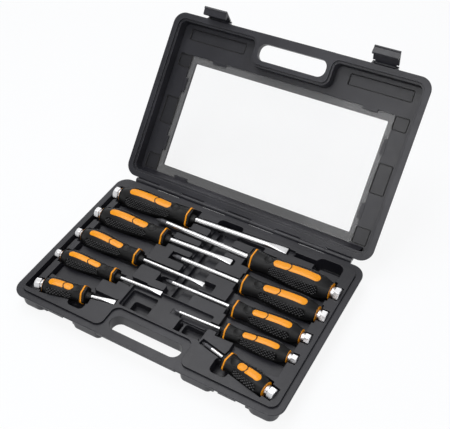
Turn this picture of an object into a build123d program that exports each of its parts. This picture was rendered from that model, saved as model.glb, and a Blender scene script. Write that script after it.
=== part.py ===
"""Hard case for a set of ten screwdrivers, standing open.

Frame: millimetres, +Z up, +X to the right along the hinge, +Y towards the hinge.
The origin is the middle of the underside that the base stands on. The lid and the
latches are built shut, where their sizes are easiest to read, and then opened.
"""
import math
import os
from dataclasses import dataclass
from build123d import *

# ---- case halves -------------------------------------------------------------------
CASE_WIDTH = 400.0          # rim, left to right
CASE_DEPTH = 256.7          # rim, handle to hinge
BASE_HEIGHT = 27.0          # underside to rim
LID_HEIGHT = 27.0           # rim to the lid's outer face
RIM_THICKNESS = 3.0
RIM_CORNER = 18.0
RIM_SOFTENING = 0.8         # small round on the rim's outer edge
RIM_WIDTH = 9.0             # rim's outer edge to the foot of the raised tray
SHELL_WALL = 2.2            # base side walls and floor
SHELL_EDGE = 6.0            # round between the side walls and the underside
SEAT = 1.2                  # how far the tray overlaps the base wall that carries it
BULGE = 3.5                 # rounded blocks of the front wall, beside the latch bays
BULGE_GAP = 1.0             # from a bulge to the bay or the notch beside it
BULGE_CORNER = 8.0
BULGE_BACK = 95.0           # how far in front of the middle a bulge starts

# ---- carrying handle ---------------------------------------------------------------
HANDLE_HALF_THICKNESS = 11.0   # the lid's half of the handle
HANDLE_BAR_THICKNESS = 9.0     # the base's half
HANDLE_BAR_ROUND = 6.0         # under the front edge of the base's half
HANDLE_NOTCH_WIDTH = 119.0
HANDLE_NOTCH_DEPTH = 45.35     # rim's front edge back to the notch in the tray
HANDLE_NOTCH_CORNER = 10.0
HANDLE_SLOT_WIDTH = 106.0
HANDLE_SLOT_DEPTH = 25.0
HANDLE_BAR_WIDTH = 13.35       # rim's front edge to the slot
HANDLE_SLOT_CORNER = 11.0
HANDLE_EDGE = 2.5
SLOT_DRAW_IN = 2.6             # the base's slot ends this much nearer than the lid's
SLOT_WALL = 2.6                # wall that hangs round the back of the base's slot
SLOT_WALL_DEPTH = 17.4

# ---- tray --------------------------------------------------------------------------
TRAY_RISE = 3.0             # tray's top above the rim
TRAY_CORNER = 11.0
TRAY_WALL = 1.7
TRAY_GAP = 0.1              # tray's deep walls to the base wall beside them
TOOL_LEVEL = 1.5            # tool axes above the rim
POCKET_GAP = 0.4            # round a grip in its pocket
PAD_CORNER = 3.0
SHALLOW_FLOOR = -2.0        # floors, measured from the rim
MIDDLE_FLOOR = -5.0
CHANNEL_FLOOR = -8.0
GROOVE_FLOOR = -14.0
WELL_FLOOR = -18.0
SHANK_ROOM = 2.0            # beside a shank in its groove
LAYOUT_WIDTH = 382.0        # tray size that the places in the tray are given for
LAYOUT_DEPTH = 238.7
FINGER_FLOOR = -13.0
SMALL_WELL_CORNER = 6.0
LARGE_WELL_CORNER = 10.0

# ---- places in the tray: left, right, front and back edge of each -------------------
LEFT_PADS = [(-50.4, -19, 77.4, 91.4), (-62.4, -19, 53.4, 65.4), (-61.4, -19, 32.4, 41.4),
             (-73.4, -45.4, 3.4, 40.4), (-50.4, -19, 5.4, 18.4), (-70.4, -38.4, -32.6, -7.6),
             (-44.4, -19, -34.6, -22.6), (-101.4, -62.4, -74.6, -47.6)]
RIGHT_PADS = [(20, 51.6, 77.4, 90.4), (20, 61.6, 31.4, 65.4), (20, 61.6, -10.6, 23.4),
              (20, 73.6, -48.6, -19.6), (64.6, 103.6, -84, -57.6)]
CAP_BLOCKS = [(-180.4, -170.4, 52.4, 79.4), (-180.4, -170.4, 8.4, 31.4),
              (-180.4, -170.4, -34.6, -11.6), (-180.4, -170.4, -94.6, -53.6)]
HANDLE_RECESSES = [(-169.5, -62.4, -80, 90), (-62.4, -19, -38, 97), (62, 173.6, -80, 88),
                   (20, 64, -57.6, 97)]
CAP_CHANNEL = (-188, -168, -113, 107)
CENTRE_CHANNEL = (-19, 20, -37, 105)
CENTRE_GROOVE = (-10, 0, -34, 100)
SHALLOW_AREA = (-58.4, 62, -79.5, -38)
LEFT_WELL_STEP = (-56.4, -17.4, -76.6, -46.6)
LEFT_WELL = (-46.4, -20.4, -75.6, -58.6)
RIGHT_WELL_STEP = (23.6, 62, -79.5, -57.6)
RIGHT_WELL = (32.6, 62, -77, -58.6)
SMALL_WELL = (23.6, 29.6, -77.6, -59.6)
REAR_WELL = (-18.5, 20.5, 100, 116.5)
CORNER_WELL = (135.5, 174, 84, 116.5)
CORNER_LEDGE = (143, 172, 86, 103)
REAR_GROOVE = (102, 140, 101, 109)
REAR_STEP = (88, 104, 99, 111)
FRONT_LEFT_WELL = (-120, -95.5, -111, -97)
FRONT_RIGHT_WELL = (96, 119.5, -111, -88)
DEEP_TIP_POCKETS = [(-45.4, -26.4, 18.4, 32.4), (-38.4, -14.4, -22.6, -6.6)]
TIP_POCKETS = [(18, 39.6, 46.4, 57.4), (18, 38.6, -7.6, 7.4)]

# ---- lid ---------------------------------------------------------------------------
LID_WALL = 2.0
LID_FACE = 2.7              # the lid's outer face, round the window
LID_CLEARANCE = 0.5         # lid round the raised tray
LID_STEP = 3.5              # depth of the lid's recess for the raised tray
LID_STEP_WIDTH = 3.1        # ledge between that recess and the lid's inner wall
LID_BEAD = 2.0              # wall round that recess
PANEL_DEPTH = 20.8          # rim to the lid's inner panel
PANEL_SKIN = 2.0
PANE_THICKNESS = 1.5
PANE_OVERLAP = 6.0          # pane beyond the panel's opening
PANE_SIDE_GAP = 0.2
WINDOW_WIDTH = 307.6        # see-through opening
WINDOW_BACK = 30.0          # rim's rear edge to the window
WINDOW_LENGTH = 160.3
WINDOW_CORNER = 1.5
PANEL_OPENING_WIDTH = 324.0
PANEL_OPENING_BACK = 17.0
PANEL_OPENING_LENGTH = 184.0
PANEL_CORNER = 4.0
NOTCH_REACH = 20.0          # shallow notches beside the panel's opening
NOTCH_SPANS = [(19, 42), (91, 133), (181, 200)]   # start and end, from the rim's rear edge
TAB_LENGTH = 22.0           # bulges that hold the pane in
TAB_REACH = 4.0
TAB_ROOT = 1.0              # how far a bulge runs into the panel
TAB_PROUD = 0.5
FRONT_TABS = (-115.0, 125.0)   # middles of the bulges along each side of the opening
BACK_TAB = -117.0
SIDE_TABS = (63.0, 155.0)      # from the rim's rear edge
FINGER_RECESS_WIDTH = 93.0  # shallow recesses beside the lid's handle
FINGER_RECESS_LENGTH = 15.8
FINGER_RECESS_CENTRE = 129.2
FINGER_RECESS_BACK = 222.7
FINGER_RECESS_DEPTH = 2.0
OPEN_ANGLE = 133.727        # lid, shut to standing open

# ---- hinge -------------------------------------------------------------------------
HINGE_LENGTH = 352.0
HINGE_SETBACK = 4.02        # axis behind the rim
HINGE_RISE = 0.53           # axis above the rim
BARREL_RADIUS = 3.6
KNUCKLES = 9                # base knuckles and lid knuckles in turn
KNUCKLE_GAP = 0.3
HINGE_PIN_RADIUS = 1.5
PIN_CLEARANCE = 0.05
STOP_GAP = 0.2
STOP_REACH = 4.0

# ---- latches -----------------------------------------------------------------------
LATCH_SPACING = 258.0       # centre to centre
LATCH_WIDTH = 37.0
LATCH_PLATE = 2.6
LATCH_LENGTH = 26.0         # pivot to free end
LATCH_SETOUT = 2.35         # pivot in front of the rim
LATCH_RISE = 6.0            # pivot above the rim
LATCH_BARREL = 2.0
LATCH_PIN_RADIUS = 0.8
LATCH_SHOULDER = 4.6        # pivot to where the latch widens past the ears
LATCH_EAR = 3.0
LATCH_EAR_GAP = 0.4
LATCH_EAR_RADIUS = 2.6
LATCH_EAR_HEIGHT = 9.0
LATCH_HOOK_GAP = 0.3
LATCH_HOOK_SLOPE = 5.7      # rise of the hook's end face towards its tip
LATCH_GRIP = 2.0            # how far the hook reaches under the catch
LATCH_BAY_WIDTH = 45.0      # recess in the base wall behind the latch
LATCH_BAY_DEPTH = 5.0
BAY_SLOPE_HEIGHT = 12.0     # under this height the bay's wall slopes inwards
BAY_SLOPE_REACH = 8.4
CATCH_WIDTH = 24.0
CATCH_HEIGHT = 8.5          # below the rim flange
CATCH_REACH = 9.65          # out of the recess
LEFT_LATCH_OPEN = 20.0      # as they stand
RIGHT_LATCH_OPEN = 46.0

# ---- screwdrivers ------------------------------------------------------------------
RING_WIDTH = 2.0
REAR_RING_WIDTH = 1.2
RING_PROUD = 0.3
RING_CORNER_SHARE = 1.1     # front ring's hexagon, corner radius over its round size
RING_CORNER_ROUND = 0.33    # round on those corners, as a share of the same size
NOSE_FLANGE = 3.0
NOSE_FLANGE_SHARE = 0.93    # nose flange radius as a share of the front ring's
NOSE_LENGTH = 6.0
NOSE_LIP = 1.5              # nose end beyond the shank's radius
GRIP_BELLY_AT = 0.38        # along the grip, from the rear ring
GRIP_WAIST_AT = 0.80
GRIP_WAIST_SHARE = 0.86     # waist radius as a share of the front ring's
CORE_SHARE = 0.62           # core rod radius as a share of the rear ring's
CORE_FIT = 0.05
LONG_INLAY = (0.14, 0.56)   # along the grip
SHORT_INLAY = (0.515, 0.735)
INLAY_WIDTH_SHARE = 0.8     # of the front ring's radius
INLAY_ROUND = 0.48          # of its width
INLAY_GAP = 1.4             # bridge of soft grip between the two inlays
THUMB_AT = 0.80
THUMB_RADIUS = 14.0
THUMB_DEPTH = 1.6
CAP_CHAMFER = 1.2
HEX_SIDES = 6
SLOT_TIP_LENGTH_SHARE = 5.2    # of the shank's radius
SLOT_TIP_FLARE = 1.32       # tip half width over the shank's radius
SLOT_TIP_WIDEST = 0.72      # along the tip
SLOT_TIP_END = 0.94         # end width over the widest
SLOT_TIP_THIN = 0.9         # where along the tip it is thinnest
SLOT_TIP_EDGE = 0.5         # half thickness at the very end
CROSS_TIP_LENGTH_SHARE = 2.2
CROSS_TIP_END_SHARE = 0.22
CROSS_FLUTES = 4
FLUTE_START = 0.35          # along the tip

# ---- worked out --------------------------------------------------------------------
RIM_Z = BASE_HEIGHT
TRAY_WIDTH = CASE_WIDTH - 2 * RIM_WIDTH
TRAY_DEPTH = CASE_DEPTH - 2 * RIM_WIDTH
TRAY_TOP = RIM_Z + TRAY_RISE
TOOL_Z = RIM_Z + TOOL_LEVEL
FRONT_Y = -CASE_DEPTH / 2
BACK_Y = CASE_DEPTH / 2
NOTCH_Y = FRONT_Y + HANDLE_NOTCH_DEPTH
WALL_OUT = SHELL_WALL - SEAT
TRAY_REACH = SEAT + TRAY_GAP
WALL_FRONT_Y = -TRAY_DEPTH / 2 - WALL_OUT
HINGE_Y = BACK_Y + HINGE_SETBACK
HINGE_Z = RIM_Z + HINGE_RISE
HINGE_AXIS = Axis((0, HINGE_Y, HINGE_Z), (1, 0, 0))
LATCH_Y = FRONT_Y - LATCH_SETOUT
LATCH_Z = RIM_Z + LATCH_RISE
LATCH_AXIS = Axis((0, LATCH_Y, LATCH_Z), (1, 0, 0))
BAY_Y = WALL_FRONT_Y + LATCH_BAY_DEPTH
CATCH_FRONT_Y = BAY_Y - CATCH_REACH
CATCH_BOTTOM_Z = RIM_Z - RIM_THICKNESS - CATCH_HEIGHT
BULGE_Y = WALL_FRONT_Y - BULGE
SPREAD_X = TRAY_WIDTH / LAYOUT_WIDTH
SPREAD_Y = TRAY_DEPTH / LAYOUT_DEPTH
NEAR = 0.01


@dataclass(frozen=True)
class Handle:
    """One size of screwdriver handle."""
    ring_span: float        # rear ring to front ring
    cap_reach: float        # rear ring to the end of the strike cap
    cap_radius: float
    front_ring: float
    belly: float
    rear_ring: float


@dataclass(frozen=True)
class Tool:
    """One screwdriver and its place in the tray."""
    name: str
    handle: Handle
    side: int               # -1: handle at the left, 1: handle at the right
    setback: float          # strike cap's end to the tray's end wall
    row: float              # Y of the strike cap's end, in the tray's layout
    yaw: float              # degrees
    shank: float            # radius
    reach: float            # front ring to tip
    crosshead: bool


EXTRA_LARGE = Handle(ring_span=114.0, cap_reach=13.3, cap_radius=9.5, front_ring=14.8, belly=16.9,
                     rear_ring=11.6)
LARGE = Handle(ring_span=103.5, cap_reach=13.0, cap_radius=8.3, front_ring=13.6, belly=15.5,
               rear_ring=10.6)
MEDIUM = Handle(ring_span=91.0, cap_reach=12.8, cap_radius=7.1, front_ring=12.0, belly=14.0,
                rear_ring=9.4)
SMALL = Handle(ring_span=83.0, cap_reach=12.5, cap_radius=6.3, front_ring=10.5, belly=12.5,
               rear_ring=8.2)
STUBBY = Handle(ring_span=57.5, cap_reach=14.0, cap_radius=8.1, front_ring=12.5, belly=13.2,
                rear_ring=9.8)

TOOLS = [
    Tool("slotted_1", EXTRA_LARGE, -1, 0.6, 92.2, 2.9, 4.0, 152.8, False),
    Tool("slotted_2", LARGE, -1, 0.6, 45.2, 2.0, 3.4, 106.0, False),
    Tool("slotted_3", MEDIUM, -1, 1.0, -0.5, 0.5, 2.5, 105.5, False),
    Tool("slotted_4", SMALL, -1, 0.6, -46.0, 2.8, 2.5, 73.5, False),
    Tool("slotted_5", STUBBY, -1, 10.8, -102.0, 11.5, 2.6, 44.0, False),
    Tool("phillips_1", EXTRA_LARGE, 1, 0.7, 69.4, -1.0, 4.0, 161.5, True),
    Tool("phillips_2", LARGE, 1, 1.0, 28.4, 0.5, 3.0, 113.5, True),
    Tool("phillips_3", MEDIUM, 1, 4.1, -12.3, 0.8, 2.5, 106.5, True),
    Tool("phillips_4", SMALL, 1, 5.0, -46.4, 2.0, 2.0, 79.0, True),
    Tool("phillips_5", STUBBY, 1, 6.0, -102.6, -12.1, 2.4, 44.3, True),
]


# ---- small helpers -----------------------------------------------------------------
def slab(outline, low, high):
    """Solid on a flat outline, between two heights."""
    return extrude(Pos(0, 0, low) * outline, high - low)


def block(x_low, x_high, y_low, y_high, z_low, z_high):
    """Plain block between two corners."""
    middle = Pos((x_low + x_high) / 2, (y_low + y_high) / 2, (z_low + z_high) / 2)
    return middle * Box(x_high - x_low, y_high - y_low, z_high - z_low)


def rounded_area(x_low, x_high, y_low, y_high, corner):
    """Flat rectangle with round corners."""
    width, depth = x_high - x_low, y_high - y_low
    corner = min(corner, 0.49 * min(width, depth))
    return Pos((x_low + x_high) / 2, (y_low + y_high) / 2) * RectangleRounded(width, depth, corner)


def cross_bar(radius, x_low, x_high, y, z):
    """Round bar along X."""
    return Pos((x_low + x_high) / 2, y, z) * Rot(0, 90, 0) * Cylinder(radius, x_high - x_low)


def side_profile(points, x_low, x_high):
    """Solid along X whose section has the given (y, z) corners."""
    face = make_face(Polyline(*[(x_low, y, z) for y, z in points], close=True))
    return extrude(face, amount=x_high - x_low, dir=(1, 0, 0))


def tray_outline(grow=0.0):
    """Outline of the raised tray, with its notch round the handle, grown outwards."""
    half_width, half_depth = TRAY_WIDTH / 2 + grow, TRAY_DEPTH / 2 + grow
    notch_half, notch_y = HANDLE_NOTCH_WIDTH / 2 - grow, NOTCH_Y - grow
    notch_depth = notch_y + half_depth
    outline = Rectangle(2 * half_width, 2 * half_depth)
    outline -= Pos(0, notch_y - notch_depth / 2) * Rectangle(2 * notch_half, notch_depth)
    inner = [v for v in outline.vertices() if abs(v.Y - notch_y) < NEAR]
    outline = fillet(inner, HANDLE_NOTCH_CORNER - grow)
    mouth = [v for v in outline.vertices()
             if abs(abs(v.X) - notch_half) < NEAR and abs(v.Y + half_depth) < NEAR]
    outline = fillet(mouth, HANDLE_NOTCH_CORNER + grow)
    outer = [v for v in outline.vertices() if abs(abs(v.X) - half_width) < NEAR]
    return fillet(outer, TRAY_CORNER + grow)


def rim_plate(low, high):
    """The rim's flat plate, its outer edges slightly rounded."""
    plate = slab(RectangleRounded(CASE_WIDTH, CASE_DEPTH, RIM_CORNER), low, high)
    return fillet(plate.edges().filter_by(Plane.XY), RIM_SOFTENING)


def handle_plate(low, high, outer_z, front_round, draw_in=0.0):
    """Half of the carrying handle, with rounded edges on its outer side."""
    half = HANDLE_NOTCH_WIDTH / 2 - WALL_OUT
    plate = block(-half, half, FRONT_Y, NOTCH_Y - WALL_OUT, low, high)
    plate -= handle_slot(low, high, draw_in)
    front = [e for e in plate.edges()
             if abs(e.center().Z - outer_z) < NEAR and abs(e.center().Y - FRONT_Y) < NEAR]
    plate = fillet(front, front_round)
    slot_edges = [e for e in plate.edges()
                  if abs(e.center().Z - outer_z) < NEAR and abs(e.center().X) < half - NEAR
                  and FRONT_Y + HANDLE_BAR_WIDTH - NEAR < e.center().Y < NOTCH_Y - 2 * WALL_OUT]
    return fillet(slot_edges, HANDLE_EDGE)


def slot_area(draw_in, grow=0.0):
    """Outline of the slot for the fingers."""
    y_low = FRONT_Y + HANDLE_BAR_WIDTH
    return rounded_area(-HANDLE_SLOT_WIDTH / 2 - grow, HANDLE_SLOT_WIDTH / 2 + grow, y_low - grow,
                        y_low + HANDLE_SLOT_DEPTH - draw_in + grow, HANDLE_SLOT_CORNER + grow)


def handle_slot(low, high, draw_in=0.0):
    """Space for the fingers, through the handle half."""
    return slab(slot_area(draw_in), low, high)


def slot_skirt():
    """Wall that hangs round the back and the ends of the base's slot."""
    low, high = RIM_Z - SLOT_WALL_DEPTH, RIM_Z - RIM_THICKNESS / 2
    ring = slab(slot_area(SLOT_DRAW_IN, SLOT_WALL), low, high) - handle_slot(low, high, SLOT_DRAW_IN)
    half = HANDLE_NOTCH_WIDTH / 2
    return ring - block(-half, half, FRONT_Y, FRONT_Y + HANDLE_BAR_WIDTH, low, high)


# ---- base --------------------------------------------------------------------------
def base_body(grow, floor, edge):
    """Closed form of the base below the rim, its lower edge rounded."""
    body = slab(tray_outline(grow), floor, RIM_Z)
    lower = [e for e in body.edges() if abs(e.center().Z - floor) < NEAR]
    return fillet(lower, edge)


def latch_bays(grow):
    """Recesses in the base's front wall behind the latches, sloping inwards low down."""
    half, low = LATCH_BAY_WIDTH / 2 + grow, -grow
    outer_y, inner_y = WALL_FRONT_Y - SHELL_WALL, BAY_Y + grow
    lean = BAY_SLOPE_REACH / BAY_SLOPE_HEIGHT
    slope_z = BAY_SLOPE_HEIGHT + grow * (math.hypot(1, lean) - 1) / lean
    profile = [(outer_y, low), (inner_y + (slope_z - low) * lean, low), (inner_y, slope_z),
               (inner_y, RIM_Z), (outer_y, RIM_Z)]
    bays = [side_profile(profile, side * LATCH_SPACING / 2 - half, side * LATCH_SPACING / 2 + half)
            for side in (-1, 1)]
    return bays[0] + bays[1]


def front_bulges(shrink):
    """Rounded blocks of the front wall on both sides of each latch bay."""
    bay_in = LATCH_SPACING / 2 - LATCH_BAY_WIDTH / 2 - BULGE_GAP
    bay_out = LATCH_SPACING / 2 + LATCH_BAY_WIDTH / 2 + BULGE_GAP
    notch, wall = HANDLE_NOTCH_WIDTH / 2 - WALL_OUT + BULGE_GAP, TRAY_WIDTH / 2 + WALL_OUT
    edge = SHELL_EDGE - shrink
    bulges = []
    for low, high, corner in ((notch, bay_in, BULGE_CORNER), (bay_out, wall, TRAY_CORNER + WALL_OUT)):
        for side in (-1, 1):
            x_low, x_high = sorted((side * (low + shrink), side * (high - shrink)))
            area = rounded_area(x_low, x_high, BULGE_Y + shrink, -BULGE_BACK, corner - shrink)
            bulge = slab(area, shrink, RIM_Z - RIM_THICKNESS)
            lower = [e for e in bulge.edges() if abs(e.center().Z - shrink) < NEAR]
            bulges.append(fillet(lower, edge))
    return bulges


def catch(side):
    """Block on the base that a latch hooks under."""
    x = side * LATCH_SPACING / 2
    return block(x - CATCH_WIDTH / 2, x + CATCH_WIDTH / 2, CATCH_FRONT_Y, BAY_Y + SHELL_WALL / 2,
                 CATCH_BOTTOM_Z, RIM_Z - RIM_THICKNESS / 2)


def knuckle_span(index):
    """Left and right ends of one hinge knuckle."""
    pitch = HINGE_LENGTH / KNUCKLES
    left = -HINGE_LENGTH / 2 + index * pitch
    return left + KNUCKLE_GAP / 2, left + pitch - KNUCKLE_GAP / 2


def knuckle(index, web_low, web_high):
    """Barrel of one knuckle with the web that joins it to its rim."""
    left, right = knuckle_span(index)
    barrel = cross_bar(BARREL_RADIUS, left, right, HINGE_Y, HINGE_Z)
    web = block(left, right, BACK_Y - RIM_THICKNESS, HINGE_Y, web_low, web_high)
    bore = cross_bar(HINGE_PIN_RADIUS + PIN_CLEARANCE, left - KNUCKLE_GAP, right + KNUCKLE_GAP,
                     HINGE_Y, HINGE_Z)
    return barrel + web - bore


def opened(y, z):
    """Where a point (y, z) of the shut lid lies when the lid stands open."""
    turn = math.radians(OPEN_ANGLE)
    dy, dz = y - HINGE_Y, z - HINGE_Z
    return (HINGE_Y + dy * math.cos(turn) + dz * math.sin(turn),
            HINGE_Z - dy * math.sin(turn) + dz * math.cos(turn))


def stop_heel(index):
    """Heel behind a base knuckle that the open lid's rim leans on."""
    left, right = knuckle_span(index)
    face_z = RIM_Z + RIM_THICKNESS + STOP_GAP
    foot = opened(BACK_Y - STOP_GAP, face_z)
    top = opened(BACK_Y - STOP_REACH, face_z)
    bottom_z = HINGE_Z - BARREL_RADIUS
    heel = side_profile([(HINGE_Y, bottom_z), (top[0], bottom_z), top, foot, (HINGE_Y, HINGE_Z)],
                        left, right)
    sweep = math.dist((BACK_Y, RIM_Z + RIM_THICKNESS), (HINGE_Y, HINGE_Z)) + STOP_GAP
    upper = side_profile([(HINGE_Y, HINGE_Z), foot, (foot[0], foot[1] + sweep),
                          (HINGE_Y, HINGE_Z + sweep)], left, right)
    path = cross_bar(sweep, left, right, HINGE_Y, HINGE_Z) & upper
    bore = cross_bar(HINGE_PIN_RADIUS + PIN_CLEARANCE, left, right, HINGE_Y, HINGE_Z)
    return heel - path - bore


def base_outer_shell():
    """Pan, rim, handle half, catches and hinge knuckles of the base."""
    pan = base_body(WALL_OUT, 0, SHELL_EDGE) - latch_bays(0)
    inside = base_body(WALL_OUT - SHELL_WALL, SHELL_WALL, SHELL_EDGE - SHELL_WALL)
    inside -= latch_bays(SHELL_WALL)
    for bulge in front_bulges(0):
        pan += bulge
    for bulge in front_bulges(SHELL_WALL):
        inside += bulge
    shell = pan - inside
    rim_low = RIM_Z - RIM_THICKNESS
    shell += rim_plate(rim_low, RIM_Z) - slab(tray_outline(WALL_OUT - NEAR), rim_low, RIM_Z)
    shell += latch_bridges(rim_low)
    handle_low = RIM_Z - HANDLE_BAR_THICKNESS
    shell += handle_plate(handle_low, RIM_Z, handle_low, HANDLE_BAR_ROUND, SLOT_DRAW_IN)
    shell += slot_skirt()
    shell -= handle_slot(rim_low - NEAR, RIM_Z, SLOT_DRAW_IN)
    for side in (-1, 1):
        shell += catch(side)
    for index in range(0, KNUCKLES, 2):
        shell += knuckle(index, rim_low, RIM_Z)
        shell += stop_heel(index)
    return shell


def latch_bridges(rim_low):
    """Rim over each latch bay, in to the bay's wall."""
    half = LATCH_BAY_WIDTH / 2
    bridges = [block(side * LATCH_SPACING / 2 - half - SHELL_WALL,
                     side * LATCH_SPACING / 2 + half + SHELL_WALL,
                     WALL_FRONT_Y - SHELL_WALL, BAY_Y + SHELL_WALL / 2, rim_low, RIM_Z)
               for side in (-1, 1)]
    return bridges[0] + bridges[1]


def hinge_pin():
    """Steel pin through every knuckle."""
    return cross_bar(HINGE_PIN_RADIUS, -HINGE_LENGTH / 2, HINGE_LENGTH / 2, HINGE_Y, HINGE_Z)


# ---- tray --------------------------------------------------------------------------
def area(x_low, x_high, y_low, y_high, grow, corner=PAD_CORNER):
    """Flat area of the tray's layout, spread with the tray and grown outwards."""
    return rounded_area(x_low * SPREAD_X - grow, x_high * SPREAD_X + grow,
                        y_low * SPREAD_Y - grow, y_high * SPREAD_Y + grow, corner + grow)


def hollow(outline, floor, grow):
    """Space above a floor, or that space with the tray's wall round and under it."""
    top = TRAY_TOP if grow else TRAY_TOP + TRAY_RISE
    return slab(outline, RIM_Z + floor - grow, top)


def pads(grow):
    """Raised pads that stand in the recesses, drawn in by the wall that covers them."""
    return [area(*place, -grow) for place in LEFT_PADS + RIGHT_PADS + CAP_BLOCKS]


def handle_recesses(grow):
    """Lowered floors round the handles and the pads."""
    outline = area(*HANDLE_RECESSES[0], grow)
    for place in HANDLE_RECESSES[1:]:
        outline += area(*place, grow)
    for pad in pads(grow):
        outline -= pad
    return hollow(outline, MIDDLE_FLOOR, grow)


def cap_channel(grow):
    """Channel along the left end that the strike caps lie in."""
    outline = area(*CAP_CHANNEL, grow)
    for place in CAP_BLOCKS:
        outline -= area(*place, -grow)
    return hollow(outline, CHANNEL_FLOOR, grow)


def centre_channel(grow):
    """Wide channel between the two columns of pads, with a deeper groove."""
    wide = hollow(area(*CENTRE_CHANNEL, grow), CHANNEL_FLOOR, grow)
    return wide + hollow(area(*CENTRE_GROOVE, grow), GROOVE_FLOOR, grow)


def lower_wells(grow):
    """Shallow area behind the handle and the stepped wells in it."""
    space = hollow(area(*SHALLOW_AREA, grow), SHALLOW_FLOOR, grow)
    for place in (LEFT_WELL_STEP, RIGHT_WELL_STEP):
        space += hollow(area(*place, grow), CHANNEL_FLOOR, grow)
    for place in (LEFT_WELL, RIGHT_WELL, SMALL_WELL):
        space += hollow(area(*place, grow), WELL_FLOOR, grow)
    return space


def finger_wells(grow):
    """Deep wells beside the tools, for the fingers that lift them."""
    space = hollow(area(*REAR_WELL, grow, SMALL_WELL_CORNER), WELL_FLOOR, grow)
    corner = hollow(area(*CORNER_WELL, grow, LARGE_WELL_CORNER), WELL_FLOOR, grow)
    space += corner - slab(area(*CORNER_LEDGE, -grow), 0, RIM_Z + MIDDLE_FLOOR - grow)
    space += hollow(area(*REAR_GROOVE, grow), GROOVE_FLOOR, grow)
    space += hollow(area(*REAR_STEP, grow), SHALLOW_FLOOR, grow)
    for place in (FRONT_LEFT_WELL, FRONT_RIGHT_WELL):
        space += hollow(area(*place, grow, SMALL_WELL_CORNER), FINGER_FLOOR, grow)
    return space


def tip_pockets(grow):
    """Small pockets round the ends of the blades."""
    pockets = [hollow(area(*place, grow), GROOVE_FLOOR, grow) for place in DEEP_TIP_POCKETS]
    pockets += [hollow(area(*place, grow), CHANNEL_FLOOR, grow) for place in TIP_POCKETS]
    space = pockets[0]
    for pocket in pockets[1:]:
        space += pocket
    return space


def tool_place(tool):
    """Place of a tool: its strike cap's end at the origin, blade along its own +X."""
    x = tool.side * (TRAY_WIDTH / 2 - TRAY_WALL - TRAY_REACH - tool.setback)
    turn = tool.yaw if tool.side < 0 else tool.yaw + 180
    return Pos(x, tool.row * SPREAD_Y, TOOL_Z) * Rot(0, 0, turn)


def tool_pocket(tool, grow):
    """Space that one tool lies in: cap bay, round trough for the grip, shank groove."""
    handle = tool.handle
    radius = handle.belly + POCKET_GAP + grow
    start = handle.cap_reach - 2 * REAR_RING_WIDTH - grow
    end = handle.cap_reach + handle.ring_span + RING_WIDTH + NOSE_FLANGE + NOSE_LENGTH + grow
    top = (TRAY_TOP if grow else TRAY_TOP + TRAY_RISE) - TOOL_Z
    trough = cross_bar(radius, start, end, 0, 0) - block(start, end, -radius, radius, 0, radius)
    trough += block(start, end, -radius, radius, 0, top)
    room = tool.shank + SHANK_ROOM + grow
    tip_x = handle.cap_reach + handle.ring_span + tool.reach + SHANK_ROOM + grow
    groove = block(end - grow - SHANK_ROOM, tip_x, -room, room, -room, top)
    bay_half = handle.cap_radius + SHANK_ROOM + grow
    bay = block(-POCKET_GAP / 2 - grow, start + 2 * grow + POCKET_GAP, -bay_half, bay_half,
                -bay_half, top)
    return tool_place(tool) * (trough + groove + bay)


def tray_spaces(grow):
    """Every hollow in the tray, or those hollows with the tray's wall round them."""
    spaces = [handle_recesses(grow), cap_channel(grow), centre_channel(grow), lower_wells(grow),
              finger_wells(grow), tip_pockets(grow)]
    spaces += [tool_pocket(tool, grow) for tool in TOOLS]
    total = spaces[0]
    for space in spaces[1:]:
        total += space
    return total


def base_tray():
    """Formed tray: one skin over the base, with a pocket for every tool."""
    skin = slab(tray_outline(), RIM_Z, TRAY_TOP)
    skin -= slab(tray_outline(-TRAY_REACH - TRAY_WALL), RIM_Z, TRAY_TOP - TRAY_WALL)
    room = slab(tray_outline(-TRAY_REACH), SHELL_WALL + TRAY_GAP, TRAY_TOP)
    room -= slab(latch_bay_keepout(), SHELL_WALL, RIM_Z)
    skin += tray_spaces(TRAY_WALL) & room
    return skin - tray_spaces(0)


def latch_bay_keepout():
    """Flat area over the latch bays that the tray's deep walls stay out of."""
    half = LATCH_BAY_WIDTH / 2 + SHELL_WALL + TRAY_GAP
    edge = BAY_Y + SHELL_WALL + TRAY_GAP
    areas = [rounded_area(side * LATCH_SPACING / 2 - half, side * LATCH_SPACING / 2 + half,
                          edge - 2 * LATCH_BAY_DEPTH - SHELL_WALL, edge, TRAY_GAP)
             for side in (-1, 1)]
    return areas[0] + areas[1]


# ---- lid ---------------------------------------------------------------------------
def lid_place(shape):
    """Turn a piece of the shut lid to where it stands open."""
    return shape.rotate(HINGE_AXIS, -OPEN_ANGLE)


def lid_area(half_width, back, length, corner, grow=0.0):
    """Flat area of the lid, centred left to right and measured from its rear edge."""
    return rounded_area(-half_width - grow, half_width + grow, BACK_Y - back - length - grow,
                        BACK_Y - back + grow, corner + grow)


def lid_inner(extra=0.0):
    """Outline of the lid's inner wall, drawn in by an extra gap."""
    return tray_outline(LID_CLEARANCE - LID_STEP_WIDTH - extra)


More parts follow.
